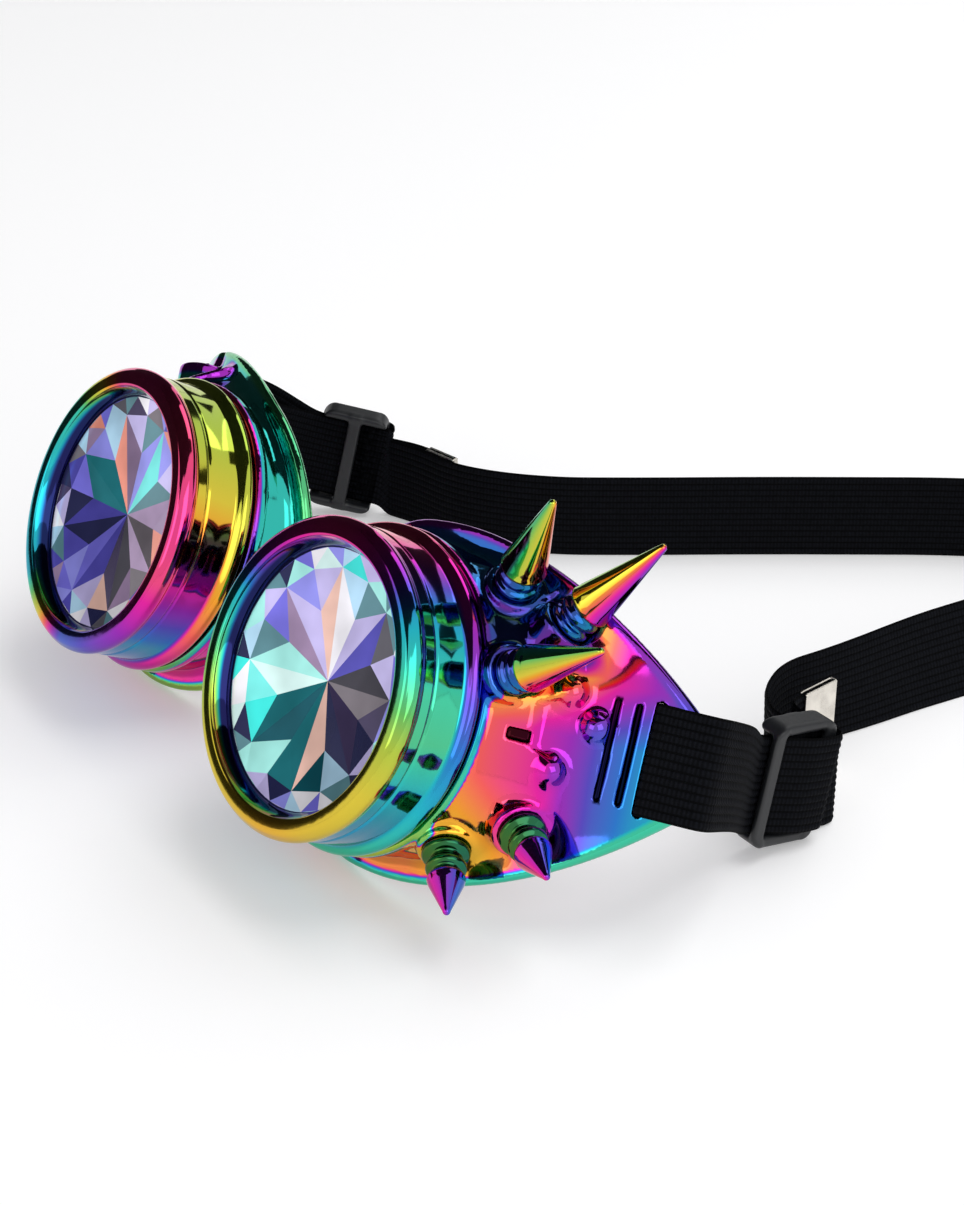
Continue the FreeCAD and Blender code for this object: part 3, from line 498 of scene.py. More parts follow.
def wall_frame(x, y, polar=0.0):
    run, fall = SKIRT_REACH - NECK_R, SKIRT_W - NECK_W
    depth = NECK_W + (math.hypot(x, y) - NECK_R) * fall / run
    slope = Matrix.Rotation(math.atan2(fall, run), 4, "Y")
    return turn(polar, "Z") @ Matrix.Translation((x, y, -depth)) @ slope


def flange_frame(x):
    heading = math.asin(x / (FACE_R + FLANGE_T))
    spot = Vector(((FACE_R + FLANGE_T) * math.sin(heading), 0,
                   (FACE_R + FLANGE_T) * math.cos(heading) - FACE_W - FACE_R))
    return Matrix.Translation(spot) @ Matrix.Rotation(heading, 4, "Y")


def cup_field(x, y, z):
    """Moulded cup: barrel, shoulder, flared wall, flange, bosses, rivet domes, cog relief, vents and lug."""
    r = np.hypot(x, y)
    heading = np.arctan2(y, x)
    w = -z
    spread = egg_radius(SKIRT_EGG, heading)
    slope = 1 / np.sqrt(1 + ((spread - NECK_R) / (SKIRT_W - NECK_W)) ** 2)
    outside = (r - wall_radius(heading, w)) * slope
    face = np.hypot(x, z + FACE_W + FACE_R)
    relief = COG_RELIEF * cog_plate(x, r, heading)
    walls = np.maximum(np.maximum(outside - relief, FACE_R - face), NECK_W - w)
    rim_of_flange = r - egg_radius(FLANGE_EGG, heading)
    flange = eased_box([rim_of_flange, slab(face, FACE_R, FACE_R + FLANGE_T)], ease=0.85)
    solid = round_min(walls, flange, ease=2.4)
    shoulder = eased_box([r - SHOULDER_R, slab(w, *SHOULDER_W)], ease=0.8)
    solid = round_min(solid, shoulder, ease=0.8)
    thread = THREAD_WAVE * np.sin(2 * math.pi * (w / THREAD_PITCH) + heading)
    crest = np.clip(thread, -THREAD_CREST, THREAD_CREST)
    solid = np.minimum(solid, np.maximum(r - BARREL_R - crest, slab(w, *BARREL_W)))
    for name in SPIKES:
        px, py, pz = local(spike_frame(name), x, y, z)
        boss = eased_box([np.hypot(px, py) - BOSS_R, slab(pz, -BOSS_H - BOSS_ROOT, BOSS_H)], ease=0.7)
        clear = np.maximum(boss, RIM_ROOM_W - w)
        boss = np.where((w < RIM_ROOM_W) & (r < RIM_ROOM_R), clear, boss)
        solid = round_min(solid, boss, ease=1.3)
    for dx, dy in DOMES:
        px, py, pz = local(wall_frame(dx, dy), x, y, z)
        stud = np.sqrt(px ** 2 + py ** 2 + (pz - np.clip(pz, *DOME_SINK)) ** 2) - DOME_R
        solid = round_min(solid, stud, ease=1.8)
    hollow = np.maximum(outside + WALL, SHOULDER_W[1] - w)
    hollow = np.minimum(hollow, np.maximum(r - BARREL_BORE, w - SHOULDER_W[1] - BORE_PAST))
    solid = round_max(solid, -hollow, ease=0.5)
    lug = bridge_lug_field(x, y, z)
    solid = round_min(solid, np.maximum(lug, -outside - WALL), ease=0.8)
    for name in SPIKES:
        px, py, pz = local(spike_frame(name), x, y, z)
        around = np.hypot(px, py)
        seat = np.maximum(around - SEAT_R, slab(pz, *SEAT_SPAN))
        bore = np.maximum(around - BORE_R, slab(pz, *BORE_SPAN))
        room = np.maximum(around - COLLAR_ROOM_R, slab(pz, BOSS_H, BOSS_H + COLLAR_ROOM_H))
        solid = round_max(solid, -np.minimum(np.minimum(seat, bore), room), ease=0.25)
    for spot in VENTS:
        vent = cut_box(wall_frame(spot, 0.0), VENT_HALF, VENT_SPAN, 0.4, x, y, z)
        solid = round_max(solid, -vent, ease=0.35)
    slot = cut_box(flange_frame(SLOT_X), SLOT_HALF, SLOT_SPAN, 0.4, x, y, z)
    solid = round_max(solid, -slot, ease=0.3)
    for polar, radius in NOTCHES:
        notch = cut_box(wall_frame(radius, 0.0, polar), NOTCH_HALF, NOTCH_SPAN, 0.3, x, y, z)
        solid = round_max(solid, -notch, ease=0.3)
    return solid


def cog_plate(x, r, heading):
    """Share of the toothed plate round the temple side of the neck, from 0 to 1."""
    tooth = 0.5 + 0.5 * np.tanh(5.0 * np.cos(COG_TEETH * (heading + math.radians(COG_TURN))))
    edge = COG_ROOT_R + COG_TOOTH * tooth
    return fade(x, 12, 8) * np.clip((edge - r) / 0.8 + 0.5, 0, 1)


def bridge_lug_field(x, y, z):
    px, py, pz = local(CUP.inverted() @ MIDDLE, x, y, z)
    end = SPACING / 2 - LUG_X[1]
    deep = slab(pz, *LUG_Z)
    block = eased_box([slab(px, end, SPACING / 2 - LUG_X[0]), np.abs(py) - LUG_HALF, deep], ease=0.7)
    half_x, half_y, half_z = LUG_WINDOW_HALF
    middle = sum(LUG_Z) / 2
    window = eased_box([np.abs(px - end - LUG_WINDOW_X) - half_x, np.abs(py) - half_y,
                        np.abs(pz - middle) - half_z], ease=0.3)
    return round_max(block, -window, ease=0.4)


# Materials


def feed(tree, node, inputs):
    """Links each input to the socket it is given, or sets it to the value it is given."""
    for name, value in inputs.items():
        if isinstance(value, bpy.types.NodeSocket):
            tree.links.new(value, node.inputs[name])
        else:
            node.inputs[name].default_value = value


def put(tree, kind, inputs=None, **settings):
    node = tree.nodes.new(kind)
    for name, value in settings.items():
        setattr(node, name, value)
    feed(tree, node, inputs or {})
    return node


def material(name):
    made = bpy.data.materials.new(name)
    made.use_nodes = True
    return made, made.node_tree, made.node_tree.nodes["Principled BSDF"]


def attribute(tree, name, output="Fac"):
    return put(tree, "ShaderNodeAttribute", attribute_name=name).outputs[output]


def object_place(tree):
    return put(tree, "ShaderNodeTexCoord").outputs["Object"]


def noise(tree, place, scale, detail=2.0):
    inputs = {"Vector": place, "Scale": scale, "Detail": detail}
    return put(tree, "ShaderNodeTexNoise", inputs).outputs["Fac"]


def reckon(tree, operation, *values):
    return put(tree, "ShaderNodeMath", dict(enumerate(values)), operation=operation).outputs[0]


def bumped(tree, height, strength, distance):
    inputs = {"Strength": strength, "Distance": distance, "Height": height}
    return put(tree, "ShaderNodeBump", inputs).outputs["Normal"]


def tinted(tree, blend, factor, a, b):
    inputs = {"Factor": factor, "A": a, "B": b}
    return put(tree, "ShaderNodeMix", inputs, data_type="RGBA", blend_type=blend).outputs["Result"]


def ramp(tree, factor, stops):
    node = put(tree, "ShaderNodeValToRGB", {"Fac": factor})
    elements = node.color_ramp.elements
    for place, _ in stops[2:]:
        elements.new(place)
    for k, (place, shown) in enumerate(stops):
        elements[k].position = place
        elements[k].color = (*shown, 1.0)
    return node.outputs["Color"]


THREAD_STEP = 0.85
# Direction towards the camera: the spikes' stripes of painted reflection run across the cone as seen from
# here.
TOWARD_CAMERA = Vector((0.728, -0.488, 0.481))
AXIS_R = 0.02
FILM_STOPS = [
    (0.000, (0.66, 0.52, 0.05)),
    (0.070, (0.82, 0.32, 0.03)),
    (0.150, (0.84, 0.11, 0.10)),
    (0.230, (0.72, 0.02, 0.32)),
    (0.320, (0.32, 0.03, 0.45)),
    (0.410, (0.10, 0.07, 0.50)),
    (0.500, (0.03, 0.18, 0.57)),
    (0.590, (0.02, 0.42, 0.50)),
    (0.680, (0.05, 0.52, 0.33)),
    (0.780, (0.13, 0.48, 0.12)),
    (0.880, (0.40, 0.52, 0.06)),
    (1.000, (0.66, 0.52, 0.05)),
]


def plating(name):
    """Mirror-bright rainbow plating: its colour follows the thickness of its film and is darkened by the
    painted shade each piece stores.
    """
    made, tree, shader = material(name)
    place = object_place(tree)
    sway = reckon(tree, "MULTIPLY_ADD", noise(tree, place, 38.0, 1.0), 0.08, attribute(tree, "film"))
    colours = ramp(tree, reckon(tree, "FRACT", sway), FILM_STOPS)
    feed(tree, shader, {
        # Painted shade: base colour times the stored shade, dark in the hollow, cuts, rim bevels, spike
        # collars and the crown between the long spikes.
        "Base Color": tinted(tree, "MULTIPLY", 1.0, colours, attribute(tree, "shade")),
        "Metallic": 1.0,
        "Roughness": finish().plating_roughness,
        "Normal": bumped(tree, noise(tree, place, 240.0), 0.04, 0.0004),
    })
    return made


def crystal_facets(name):
    """Cut crystal: each facet shows its own tint under a glossy skin and glows with it, a painted glow."""
    made, tree, shader = material(name)
    streak = noise(tree, object_place(tree), 90.0)
    limits = {"Value": streak, "From Min": 0.3, "From Max": 0.7, "To Min": 0.78, "To Max": 1.12}
    shade = put(tree, "ShaderNodeMapRange", limits).outputs["Result"]
    tint_and_painted_glow = tinted(tree, "MULTIPLY", 1.0, attribute(tree, "tint", "Color"), shade)
    feed(tree, shader, {
        "Base Color": tint_and_painted_glow,
        # Painted glow: the lens emits its facet tints though it is no lamp.
        "Emission Color": tint_and_painted_glow,
        "Emission Strength": 0.24,
        "Metallic": 0.5,
        "Roughness": 0.16,
        "Specular IOR Level": 0.2,
        "IOR": 1.55,
    })
    return made


def elastic(name):
    """Black woven elastic: fine cross threads over the ribs, with painted shade in the grooves between them.
    """
    made, tree, shader = material(name)
    rate = reckon(tree, "MULTIPLY", attribute(tree, "along"), 2 * math.pi / THREAD_STEP)
    fuzz = noise(tree, object_place(tree), 900.0, 3.0)
    weave = reckon(tree, "MULTIPLY_ADD", reckon(tree, "SINE", rate), 0.25, fuzz)
    base = finish().strap_colour
    colours = ramp(tree, weave, [(0.25, [0.6 * c for c in base]), (0.75, [1.6 * c for c in base])])
    # Painted shade: the ribbon's core between the ribs a quarter as bright.
    painted_groove_dark = (*(0.25 * c for c in base), 1.0)
    feed(tree, shader, {
        "Base Color": tinted(tree, "MIX", attribute(tree, "groove"), colours, painted_groove_dark),
        "Roughness": 0.78,
        "Specular IOR Level": 0.06,
        "Normal": bumped(tree, weave, 0.5, 0.00025),
    })
    return made


def grained(name, shown, rough, metal, scale, depth):
    """Moulded plastic, rubber or metal with a fine grain and uneven gloss."""
    made, tree, shader = material(name)
    grain = noise(tree, object_place(tree), scale, 4.0)
    dark = [0.82 * c for c in shown]
    light = [min(1.0, 1.15 * c) for c in shown]
    limits = {"Value": grain, "To Min": rough * 0.8, "To Max": min(1.0, rough * 1.25)}
    feed(tree, shader, {
        "Base Color": ramp(tree, grain, [(0.3, dark), (0.7, light)]),
        "Roughness": put(tree, "ShaderNodeMapRange", limits).outputs["Result"],
        "Normal": bumped(tree, grain, 0.25, depth),
        "Metallic": metal,
    })
    return made


def shared(maker, name, *values):
    """A material made once and used by every piece of its finish."""
    return bpy.data.materials.get(name) or maker(name, *values)


def dress(obj, body, node):
    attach(obj, body)
    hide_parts(node)


# Film of the plating


def rolled(obj, hand):
    """Places and normals of a mesh in its cup's frame, in millimetres."""
    spots = per_vertex(obj.data.vertices, "co") * 1000
    normals = per_vertex(obj.data.vertex_normals, "vector")
    spots[:, 0] *= hand
    normals[:, 0] *= hand
    back = np.array(CUP.inverted())
    return spots @ back[:3, :3].T + back[:3, 3], normals @ back[:3, :3].T


NEAR_WALL = ((-40, -28, -8, 28, 31, 35, 39, 42, 46, 52, 61),
             (0.52, 0.30, 0.12, 0.11, 0.15, 0.20, 0.24, 0.29, 0.40, 0.50, 0.58))
# Painted shade: near black in the vents, notches and strap slot, and darker inside the cup's hollow.
PAINTED_CUT_SHADE = 0.04
PAINTED_HOLLOW_SHADE = 0.45


def near_film(x, y, r, normal_y):
    """Film of the near cup's wall and flange, and the share of the crown between the long spikes that takes
    painted shade.
    """
    heading = np.arctan2(y, x)
    film = np.interp(x, *NEAR_WALL)
    film -= 0.02 * np.clip(y - 1, 0, 11) + 0.004 * np.clip(-y - 10, 0, 14) * fade(x, 44, -6)
    film -= 0.05 * cog_plate(x, r, heading)
    # Crown between the long spikes: a purple film and painted shade; the film there also shifts with how far
    # a face turns up.
    painted_dark_crown = fade(np.degrees(heading), 16, 4) * fade(r, 45.5, -3)
    painted_dark_crown = np.maximum(painted_dark_crown, fade(y, 24, 5))
    film = mixed(film, painted_dark_crown, 0.36 + 0.12 * normal_y + 0.012 * np.clip(y - 26, 0, 12))
    return film, 0.64 - 0.24 * fade(y, -6, 14) - 0.12 * fade(y, 8, 10), painted_dark_crown


def far_film(x, y, z):
    """Film of the far cup's wall, bosses and flange."""
    film = 0.18 + 0.42 * fade(y, -10, 22)
    for name in SPIKES:
        px, py, pz = local(spike_frame(name), x, y, z)
        boss = np.clip(6.6 - np.hypot(px, py), 0, 1) * np.clip(pz + 0.2, 0, 1)
        film = mixed(film, boss, 0.27)
    return film, 0.70 + 0.10 * fade(y, 0, -10), np.zeros(len(x))


def cup_film(obj, hand):
    p, n = rolled(obj, hand)
    x, y, z = p.T
    r = np.hypot(x, y)
    heading = np.arctan2(y, x)
    face = np.hypot(x, z + FACE_W + FACE_R) - FACE_R
    film, flange, painted_dark_crown = near_film(x, y, r, n[:, 1]) if hand > 0 else far_film(x, y, z)
    edge = fade(face, 2.6, -0.4) * fade(r - egg_radius(FLANGE_EGG, heading), -1.9, 0.8)
    film = mixed(film, edge, flange)
    film = mixed(film, fade(z, -16.6, 0.4), 0.52 - 0.36 * y / np.maximum(r, 1))
    store(obj, "film", film)
    # Painted shade over the crown between the long spikes.
    deep = 1 - 0.45 * painted_dark_crown * fade(x, 20, 4)
    # Painted shade inside the cup's hollow.
    inside = (r - wall_radius(heading, -z) < -0.6) & (-z > SHOULDER_W[1] - 0.2) & (r > 20)
    deep[inside] = PAINTED_HOLLOW_SHADE
    # Painted shade: near black on the floors of the vents, notches and the strap slot.
    for spot in VENTS:
        px, py, pz = local(wall_frame(spot, 0.0), x, y, z)
        deep[(np.abs(px) < 0.75) & (np.abs(py) < 10) & (np.abs(pz + 0.85) < 0.5)] = PAINTED_CUT_SHADE
    for polar, radius in NOTCHES:
        px, py, pz = local(wall_frame(radius, 0.0, polar), x, y, z)
        deep[(np.abs(px) < 2.4) & (np.abs(py) < 1.3) & (np.abs(pz + 0.3) < 0.75)] = PAINTED_CUT_SHADE
    px, py, pz = local(flange_frame(SLOT_X), x, y, z)
    deep[(np.abs(px) < 1.1) & (np.abs(py) < 11.2) & (pz < -0.12)] = PAINTED_CUT_SHADE
    store(obj, "shade", deep)


NEAR_BAND = ((-1.0, -0.8, -0.5, -0.2, 0.1, 0.35, 0.6, 0.85, 1.0),
             (0.50, 0.52, 0.57, 0.67, 0.66, 0.58, 0.48, 0.24, 0.13))
NEAR_BEAD = ((-1.0, -0.6, -0.3, 0.0, 0.25, 0.5, 0.75, 1.0),
             (0.98, 0.96, 0.84, 0.72, 0.62, 0.53, 0.30, 0.18))


def rim_film(obj, hand):
    p, _ = rolled(obj, hand)
    r = np.hypot(p[:, 0], p[:, 1])
    up = p[:, 1] / np.maximum(r, 1)
    front = fade(p[:, 2], -1.9, 0.6)
    if hand > 0:
        band = np.interp(up, *NEAR_BAND)
        bead = np.interp(up, *NEAR_BEAD)
        grip = 0.40 - 0.25 * up
    else:
        band = 1.24 - np.where(up > 0, 0.40, 0.56) * up + 0.7 * np.clip(up + 0.5, -0.5, 0)
        nose = np.clip(0.5 - p[:, 0] / np.maximum(r, 1) / 0.8, 0, 1)
        nose = np.maximum(nose, fade(up, 0.3, 0.5))
        bead = mixed(0.60 + 0.08 * up, nose, 1.18 - 0.26 * np.minimum(up, 0.1))
        grip = 1.05 - 0.22 * up
    film = mixed(mixed(band, front, bead), fade(p[:, 2], -11.2, -0.6), grip)
    # Inner bevel round the lens: navy film and painted shade, darkest inward of the front bead.
    painted_shade_bevel = fade(r, 26.3, -0.3)
    store(obj, "film", mixed(film, painted_shade_bevel, 0.40))
    store(obj, "shade", 1 - 0.82 * painted_shade_bevel)


def spike_film(obj, place, cone_start, low, high, collar, depth):
    """Lengthwise stripes of painted reflection, across the cone from one side to the other as seen from the
    camera, over collars of another colour darkened with painted shade.
    """
    along = (place.to_3x3() @ Vector((0, 0, 1))).normalized()
    side = along.cross(TOWARD_CAMERA).normalized()
    flank = 0.5 + 0.5 * (per_vertex(obj.data.vertex_normals, "vector") @ np.array(side))
    spots = per_vertex(obj.data.vertices, "co") * 1000
    cone = fade((spots - np.array(place.to_translation())) @ np.array(along), cone_start, 0.3)
    store(obj, "film", mixed(collar + 0.2 * flank, cone, low + (high - low) * flank))
    # Painted shade: the collars below the cone darker than the cone.
    store(obj, "shade", depth + (1 - depth) * cone)


# Pieces


class GOGGLES_OT_cups(bpy.types.Operator):
    """Plated eye cups with bosses, rivet domes, vents and bridge lugs"""
    bl_idname = "goggles.cups"
    bl_label = "Eye cups"

    def execute(self, context):
        step = sizes().cup_step * 1
        points, faces = skin(cup_field, (-42.0, -40.0, -53.0), (65.0, 40.0, -3.0), step)
        for side, hand in HANDS.items():
            obj = cup_piece("plated_cup_", side, points, faces.tolist(), shared(plating, "rainbow_plating"))
            cup_film(obj, hand)
            dress(obj, "frame", "eye_cup_" + side)
        return {"FINISHED"}


def rim_section():
    """Section of a rim, from its rear edge round the grip bead, the band, the front bead and the thread."""
    section = [(28.1, -15.0), (30.6, -15.0)]
    section += arc((31.0, -14.9), (32.1, -13.4), (31.0, -11.9), 12)
    section += [(30.7, -11.65), (30.4, -11.4), (30.3, -11.0), (30.3, -8.0), (30.3, -5.2)]
    section += [(30.27, -4.9), (30.05, -4.65), (30.05, -4.35), (30.27, -4.1), (30.3, -3.8), (30.3, -2.0)]
    section += [(30.35, -1.5)]
    section += arc((30.55, -1.2), (30.9, 0.35), (30.25, 1.7), 11)
    section += arc((30.15, 1.83), (29.75, 2.23), (29.25, 2.44), 6)
    section += [(29.05, 2.48), (28.6, 2.5), (27.9, 2.5), (27.1, 2.5), (26.9, 2.47), (26.72, 2.38)]
    section += [(26.6, 2.22), (26.52, 2.0), (26.45, 1.7), (26.2, 1.2), (25.85, 0.6), (25.5, 0.0)]
    section += [(25.25, -0.5), (25.2, -0.9), (25.25, -1.25)]
    section += [(25.5, -1.3), (27.6, -1.3), (28.05, -1.4), (28.1, -1.9)]
    for thread in np.arange(-4.0, -14.2, -THREAD_PITCH / 2):
        section += [(28.1, thread + 0.5), (28.3, thread), (28.1, thread - 0.5)]
    return section


class GOGGLES_OT_rims(bpy.types.Operator):
    """Screw-on lens rims"""
    bl_idname = "goggles.rims"
    bl_label = "Lens rims"

    def execute(self, context):
        points, faces = lathe(rim_section(), sizes().rim_segments)
        for side, hand in HANDS.items():
            obj = cup_piece("plated_rim_", side, points, faces, shared(plating, "rainbow_plating"))
            rim_film(obj, hand)
            dress(obj, "rim_" + side, "lens_rim_" + side)
        return {"FINISHED"}


LENS_R = 27.4
LENS_BEVEL = 0.3
LENS_SIDES = 96
LENS_FRONT = -1.3
LENS_BACK = -4.3
PAVILION_R = 25.0
PAVILION_DEPTH = 5.0
FACET_RING_SHARE = 0.6
FRONT_RINGS = ((25.0, -1.35), (21.5, -2.0), (13.5, -3.4), (0.0, -4.6))
GASKET_CORNERS = ((25.6, -5.3), (27.2, -5.3), (27.2, -4.3), (25.6, -4.3))
GASKET_EASE = 0.3
TINTS = {
    "bright_aqua": (0.05, 0.80, 0.74), "aqua": (0.20, 0.84, 0.80), "pale_aqua": (0.40, 0.88, 0.82),
    "mint_white": (0.70, 0.94, 0.91), "teal": (0.021, 0.223, 0.262), "deep_teal": (0.006, 0.091, 0.122),
    "slate_teal": (0.114, 0.262, 0.305), "lavender": (0.195, 0.174, 0.76),
    "periwinkle": (0.305, 0.305, 0.87), "lilac": (0.578, 0.514, 0.87), "white": (0.92, 0.90, 0.96),
    "peach": (0.97, 0.61, 0.51), "salmon": (0.87, 0.305, 0.223), "slate": (0.107, 0.102, 0.127),
    "warm_grey": (0.19, 0.165, 0.19), "navy": (0.021, 0.023, 0.084), "indigo": (0.091, 0.08, 0.456),
    "plum": (0.061, 0.045, 0.114), "ice": (0.485, 0.75, 0.96), "mauve": (0.376, 0.262, 0.43),
}
# Facet tints, set one by one round each lens: the crystal's colour together with painted reflection and
# refraction, with light and dark facets among them.
LENS_COLOURS_AND_PAINTED_LIGHT = {
    "left": {
        "kite": ("slate", "indigo", "lilac", "white", "peach", "lilac", "mauve", "pale_aqua",
                 "mint_white", "teal", "deep_teal", "teal", "peach", "navy", "plum", "warm_grey"),
        "break": ("lilac", "slate", "slate_teal", "ice", "lilac", "periwinkle", "lavender", "slate_teal",
                  "aqua", "bright_aqua", "pale_aqua", "teal", "deep_teal", "ice", "navy", "plum"),
        "girdle": ("navy", "white", "slate_teal", "lilac", "periwinkle", "lavender", "slate_teal",
                   "pale_aqua", "bright_aqua", "mint_white", "pale_aqua", "lilac", "ice", "white", "navy",
                   "pale_aqua"),
    },
    "right": {
        "kite": ("teal", "salmon", "mauve", "periwinkle", "aqua", "slate_teal", "mauve", "warm_grey",
                 "mauve", "slate", "plum", "indigo", "lavender", "navy", "indigo", "teal"),
        "break": ("periwinkle", "ice", "lilac", "slate_teal", "periwinkle", "lilac", "mauve", "salmon",
                  "warm_grey", "mauve", "peach", "lilac", "periwinkle", "indigo", "navy", "lavender"),
        "girdle": ("ice", "lavender", "slate_teal", "lilac", "indigo", "mauve", "ice", "plum",
                   "warm_grey", "salmon", "slate", "white", "periwinkle", "indigo", "white", "navy"),
    },
}


def cut_lens():
    """Points, faces and facet kinds of a lens: cut front, edge and cut back."""
    eighth = math.pi / 4
    points, faces, kinds = [], [], []

    def add(kind, *loop):
        start = len(points)
        points.extend(loop)
        faces.append(tuple(range(start, start + len(loop))))
        kinds.append(kind)

    def at(radius, angle, z):
        return (radius * math.cos(angle), radius * math.sin(angle), z)

    def round_at(radius, k, z):
        return at(radius, 2 * math.pi * k / LENS_SIDES, z)

    (girdle_r, girdle_z), (tip_r, tip_z), (ring_r, ring_z), (_, apex_z) = FRONT_RINGS
    apex = (0, 0, apex_z)
    for k in range(8):
        tip, side, following = (at(tip_r, (k + n) * eighth, tip_z) for n in (0, 0.5, 1))
        after = at(ring_r, (k + 0.5) * eighth, ring_z)
        add(("kite", 2 * k), apex, tip, after)
        add(("kite", 2 * k + 1), apex, after, following)
        add(("break", 2 * k), after, tip, side)
        add(("break", 2 * k + 1), after, side, following)
    for k in range(16):
        a, b = (at(tip_r, n * eighth / 2, tip_z) for n in (k, k + 1))
        outer = [at(girdle_r, (k + n / 2) * eighth / 2, girdle_z) for n in range(3)]
        add(("girdle", k), a, outer[0], outer[1])
        add(("girdle", k + 5), a, outer[1], b)
        add(("girdle", k + 9), b, outer[1], outer[2])
    for k in range(0, LENS_SIDES, 3):
        add(("girdle", k // 6), *(round_at(girdle_r, k + n, girdle_z) for n in range(4)))
    edge = ((girdle_r, girdle_z), (LENS_R - LENS_BEVEL, LENS_FRONT), (LENS_R, LENS_FRONT - LENS_BEVEL),
            (LENS_R, LENS_BACK), (PAVILION_R, LENS_BACK))
    for k in range(LENS_SIDES):
        for (r, z), (next_r, next_z) in zip(edge, edge[1:]):
            add(("edge", k), round_at(r, k, z), round_at(next_r, k, next_z),
                round_at(next_r, k + 1, next_z), round_at(r, k + 1, z))
    ring = FACET_RING_SHARE * PAVILION_R
    low = LENS_BACK - PAVILION_DEPTH
    rise = ring * math.cos(eighth / 2) * PAVILION_DEPTH / PAVILION_R
    for k in range(8):
        tip, side, following = (at(PAVILION_R, (k + n) * eighth, LENS_BACK) for n in (0, 0.5, 1))
        before, after = (at(ring, (k + n) * eighth, low + rise) for n in (-0.5, 0.5))
        add(("kite", 2 * k), (0, 0, low), tip, before)
        add(("kite", 2 * k + 1), (0, 0, low), after, tip)
        add(("break", 2 * k), after, side, tip)
        add(("break", 2 * k + 1), after, following, side)
    span = LENS_SIDES // 16
    for k in range(16):
        bow = [round_at(PAVILION_R, k * span + n, LENS_BACK) for n in range(span + 1)]
        add(("break", k), *bow[::-1])
    return points, faces, kinds


class GOGGLES_OT_lenses(bpy.types.Operator):
    """Cut crystal lenses and the soft rings behind them"""
    bl_idname = "goggles.lenses"
    bl_label = "Lenses"

    def execute(self, context):
        points, faces, kinds = cut_lens()
        crystal = shared(crystal_facets, "crystal_facets")
        for side in HANDS:
            obj = cup_piece("cut_lens_", side, points, faces, crystal, smooth=False)
            close_up(obj)
            facet_colours_and_painted_light = obj.data.color_attributes.new("tint", "FLOAT_COLOR", "CORNER")
            for polygon, (kind, number) in zip(obj.data.polygons, kinds):
                # Facets with no listed tint, the lens edges, take navy as painted shade.
                names = LENS_COLOURS_AND_PAINTED_LIGHT[side].get(kind, ("navy",))
                tint = TINTS[names[number % len(names)]]
                for corner in polygon.loop_indices:
                    facet_colours_and_painted_light.data[corner].color = (*tint, 1.0)
            dress(obj, "lens_" + side, "kaleidoscope_lens_" + side)
        rubber = shared(grained, "gasket_rubber", finish().gasket_colour, 0.7, 0.0, 900.0, 0.0001)
        points, faces = lathe(eased(GASKET_CORNERS, GASKET_EASE, 5), 128)
        for side in HANDS:
            obj = cup_piece("soft_ring_", side, points, faces, rubber)
            dress(obj, "lens_" + side, "lens_gasket_" + side)
        return {"FINISHED"}


class GOGGLES_OT_spikes(bpy.types.Operator):
    """Turned spikes and the screws that hold them"""
    bl_idname = "goggles.spikes"
    bl_label = "Spikes"

    def execute(self, context):
        for name, values in SPIKES.items():
            rings, skirt, start, collar, depth = TURNED["long" if name.startswith("long") else "short"]
            section = turned_spike(rings, skirt, start, BOSS_H + COLLAR_H + values[-1])
            points, faces = lathe(section, 72, closed=False)
            place = CUP @ spike_frame(name)
            plate = shared(plating, "rainbow_plating")
            obj = mesh_object("plated_" + name, placed(points, place), faces, plate)
            spike_film(obj, place, start, *PAINTED_REFLECTION_STRIPES[name], collar, depth)
            dress(obj, "frame", name)
        screws()
        return {"FINISHED"}


# Rings, radius and height of the cone's skirt, and the collars' film and painted shade
TURNED = {
    "long": (((4.3, 2.8, 4.3, 3.3), (4.2, 5.3, 6.9, 3.5)), 4.4, 7.7, 0.34, 0.6),
    "short": (((4.6, 2.8, 4.4, 2.9), (3.9, 6.1, 7.7, 2.8)), 3.6, 8.8, 0.62, 0.28),
}
COLLAR_H = 4.7
# Film of the painted reflection stripes, at the cone's one flank and at its other.
PAINTED_REFLECTION_STRIPES = {
    "long_spike_upper": (0.66, 1.10),
    "long_spike_middle": (0.78, 1.36),
    "long_spike_lower": (0.55, 1.26),
    "short_spike_front": (0.46, 0.18),
    "short_spike_rear": (0.44, 0.14),
}


def turned_spike(rings, skirt, start, top):
    """Section of a spike: rounded rings (radius, low, high, waist above), then the cone to its tip."""
    section = [(AXIS_R, BOSS_H + AXIS_R)]
    for radius, low, high, waist in rings:
        flank = radius - 0.35
        section.append((radius - 0.55, low + 0.02))
        section += arc((flank, low + 0.06), (radius, (low + high) / 2), (flank, high - 0.06), 9)
        section += [(waist + 0.25, high + 0.08), (waist, high + 0.35), (waist, high + 0.65)]
    section += arc((skirt - 0.6, start), (skirt, start + 0.55), (skirt - 0.12, start + 1.2), 7)
    for t in np.linspace(0.06, 1, 12):
        section.append((skirt + (0.8 - skirt) * t, start + 1.2 + (top - 0.85 - start - 1.2) * t))
    return section + [(0.68, top - 0.42), (0.48, top - 0.16), (0.25, top - 0.04), (AXIS_R, top)]


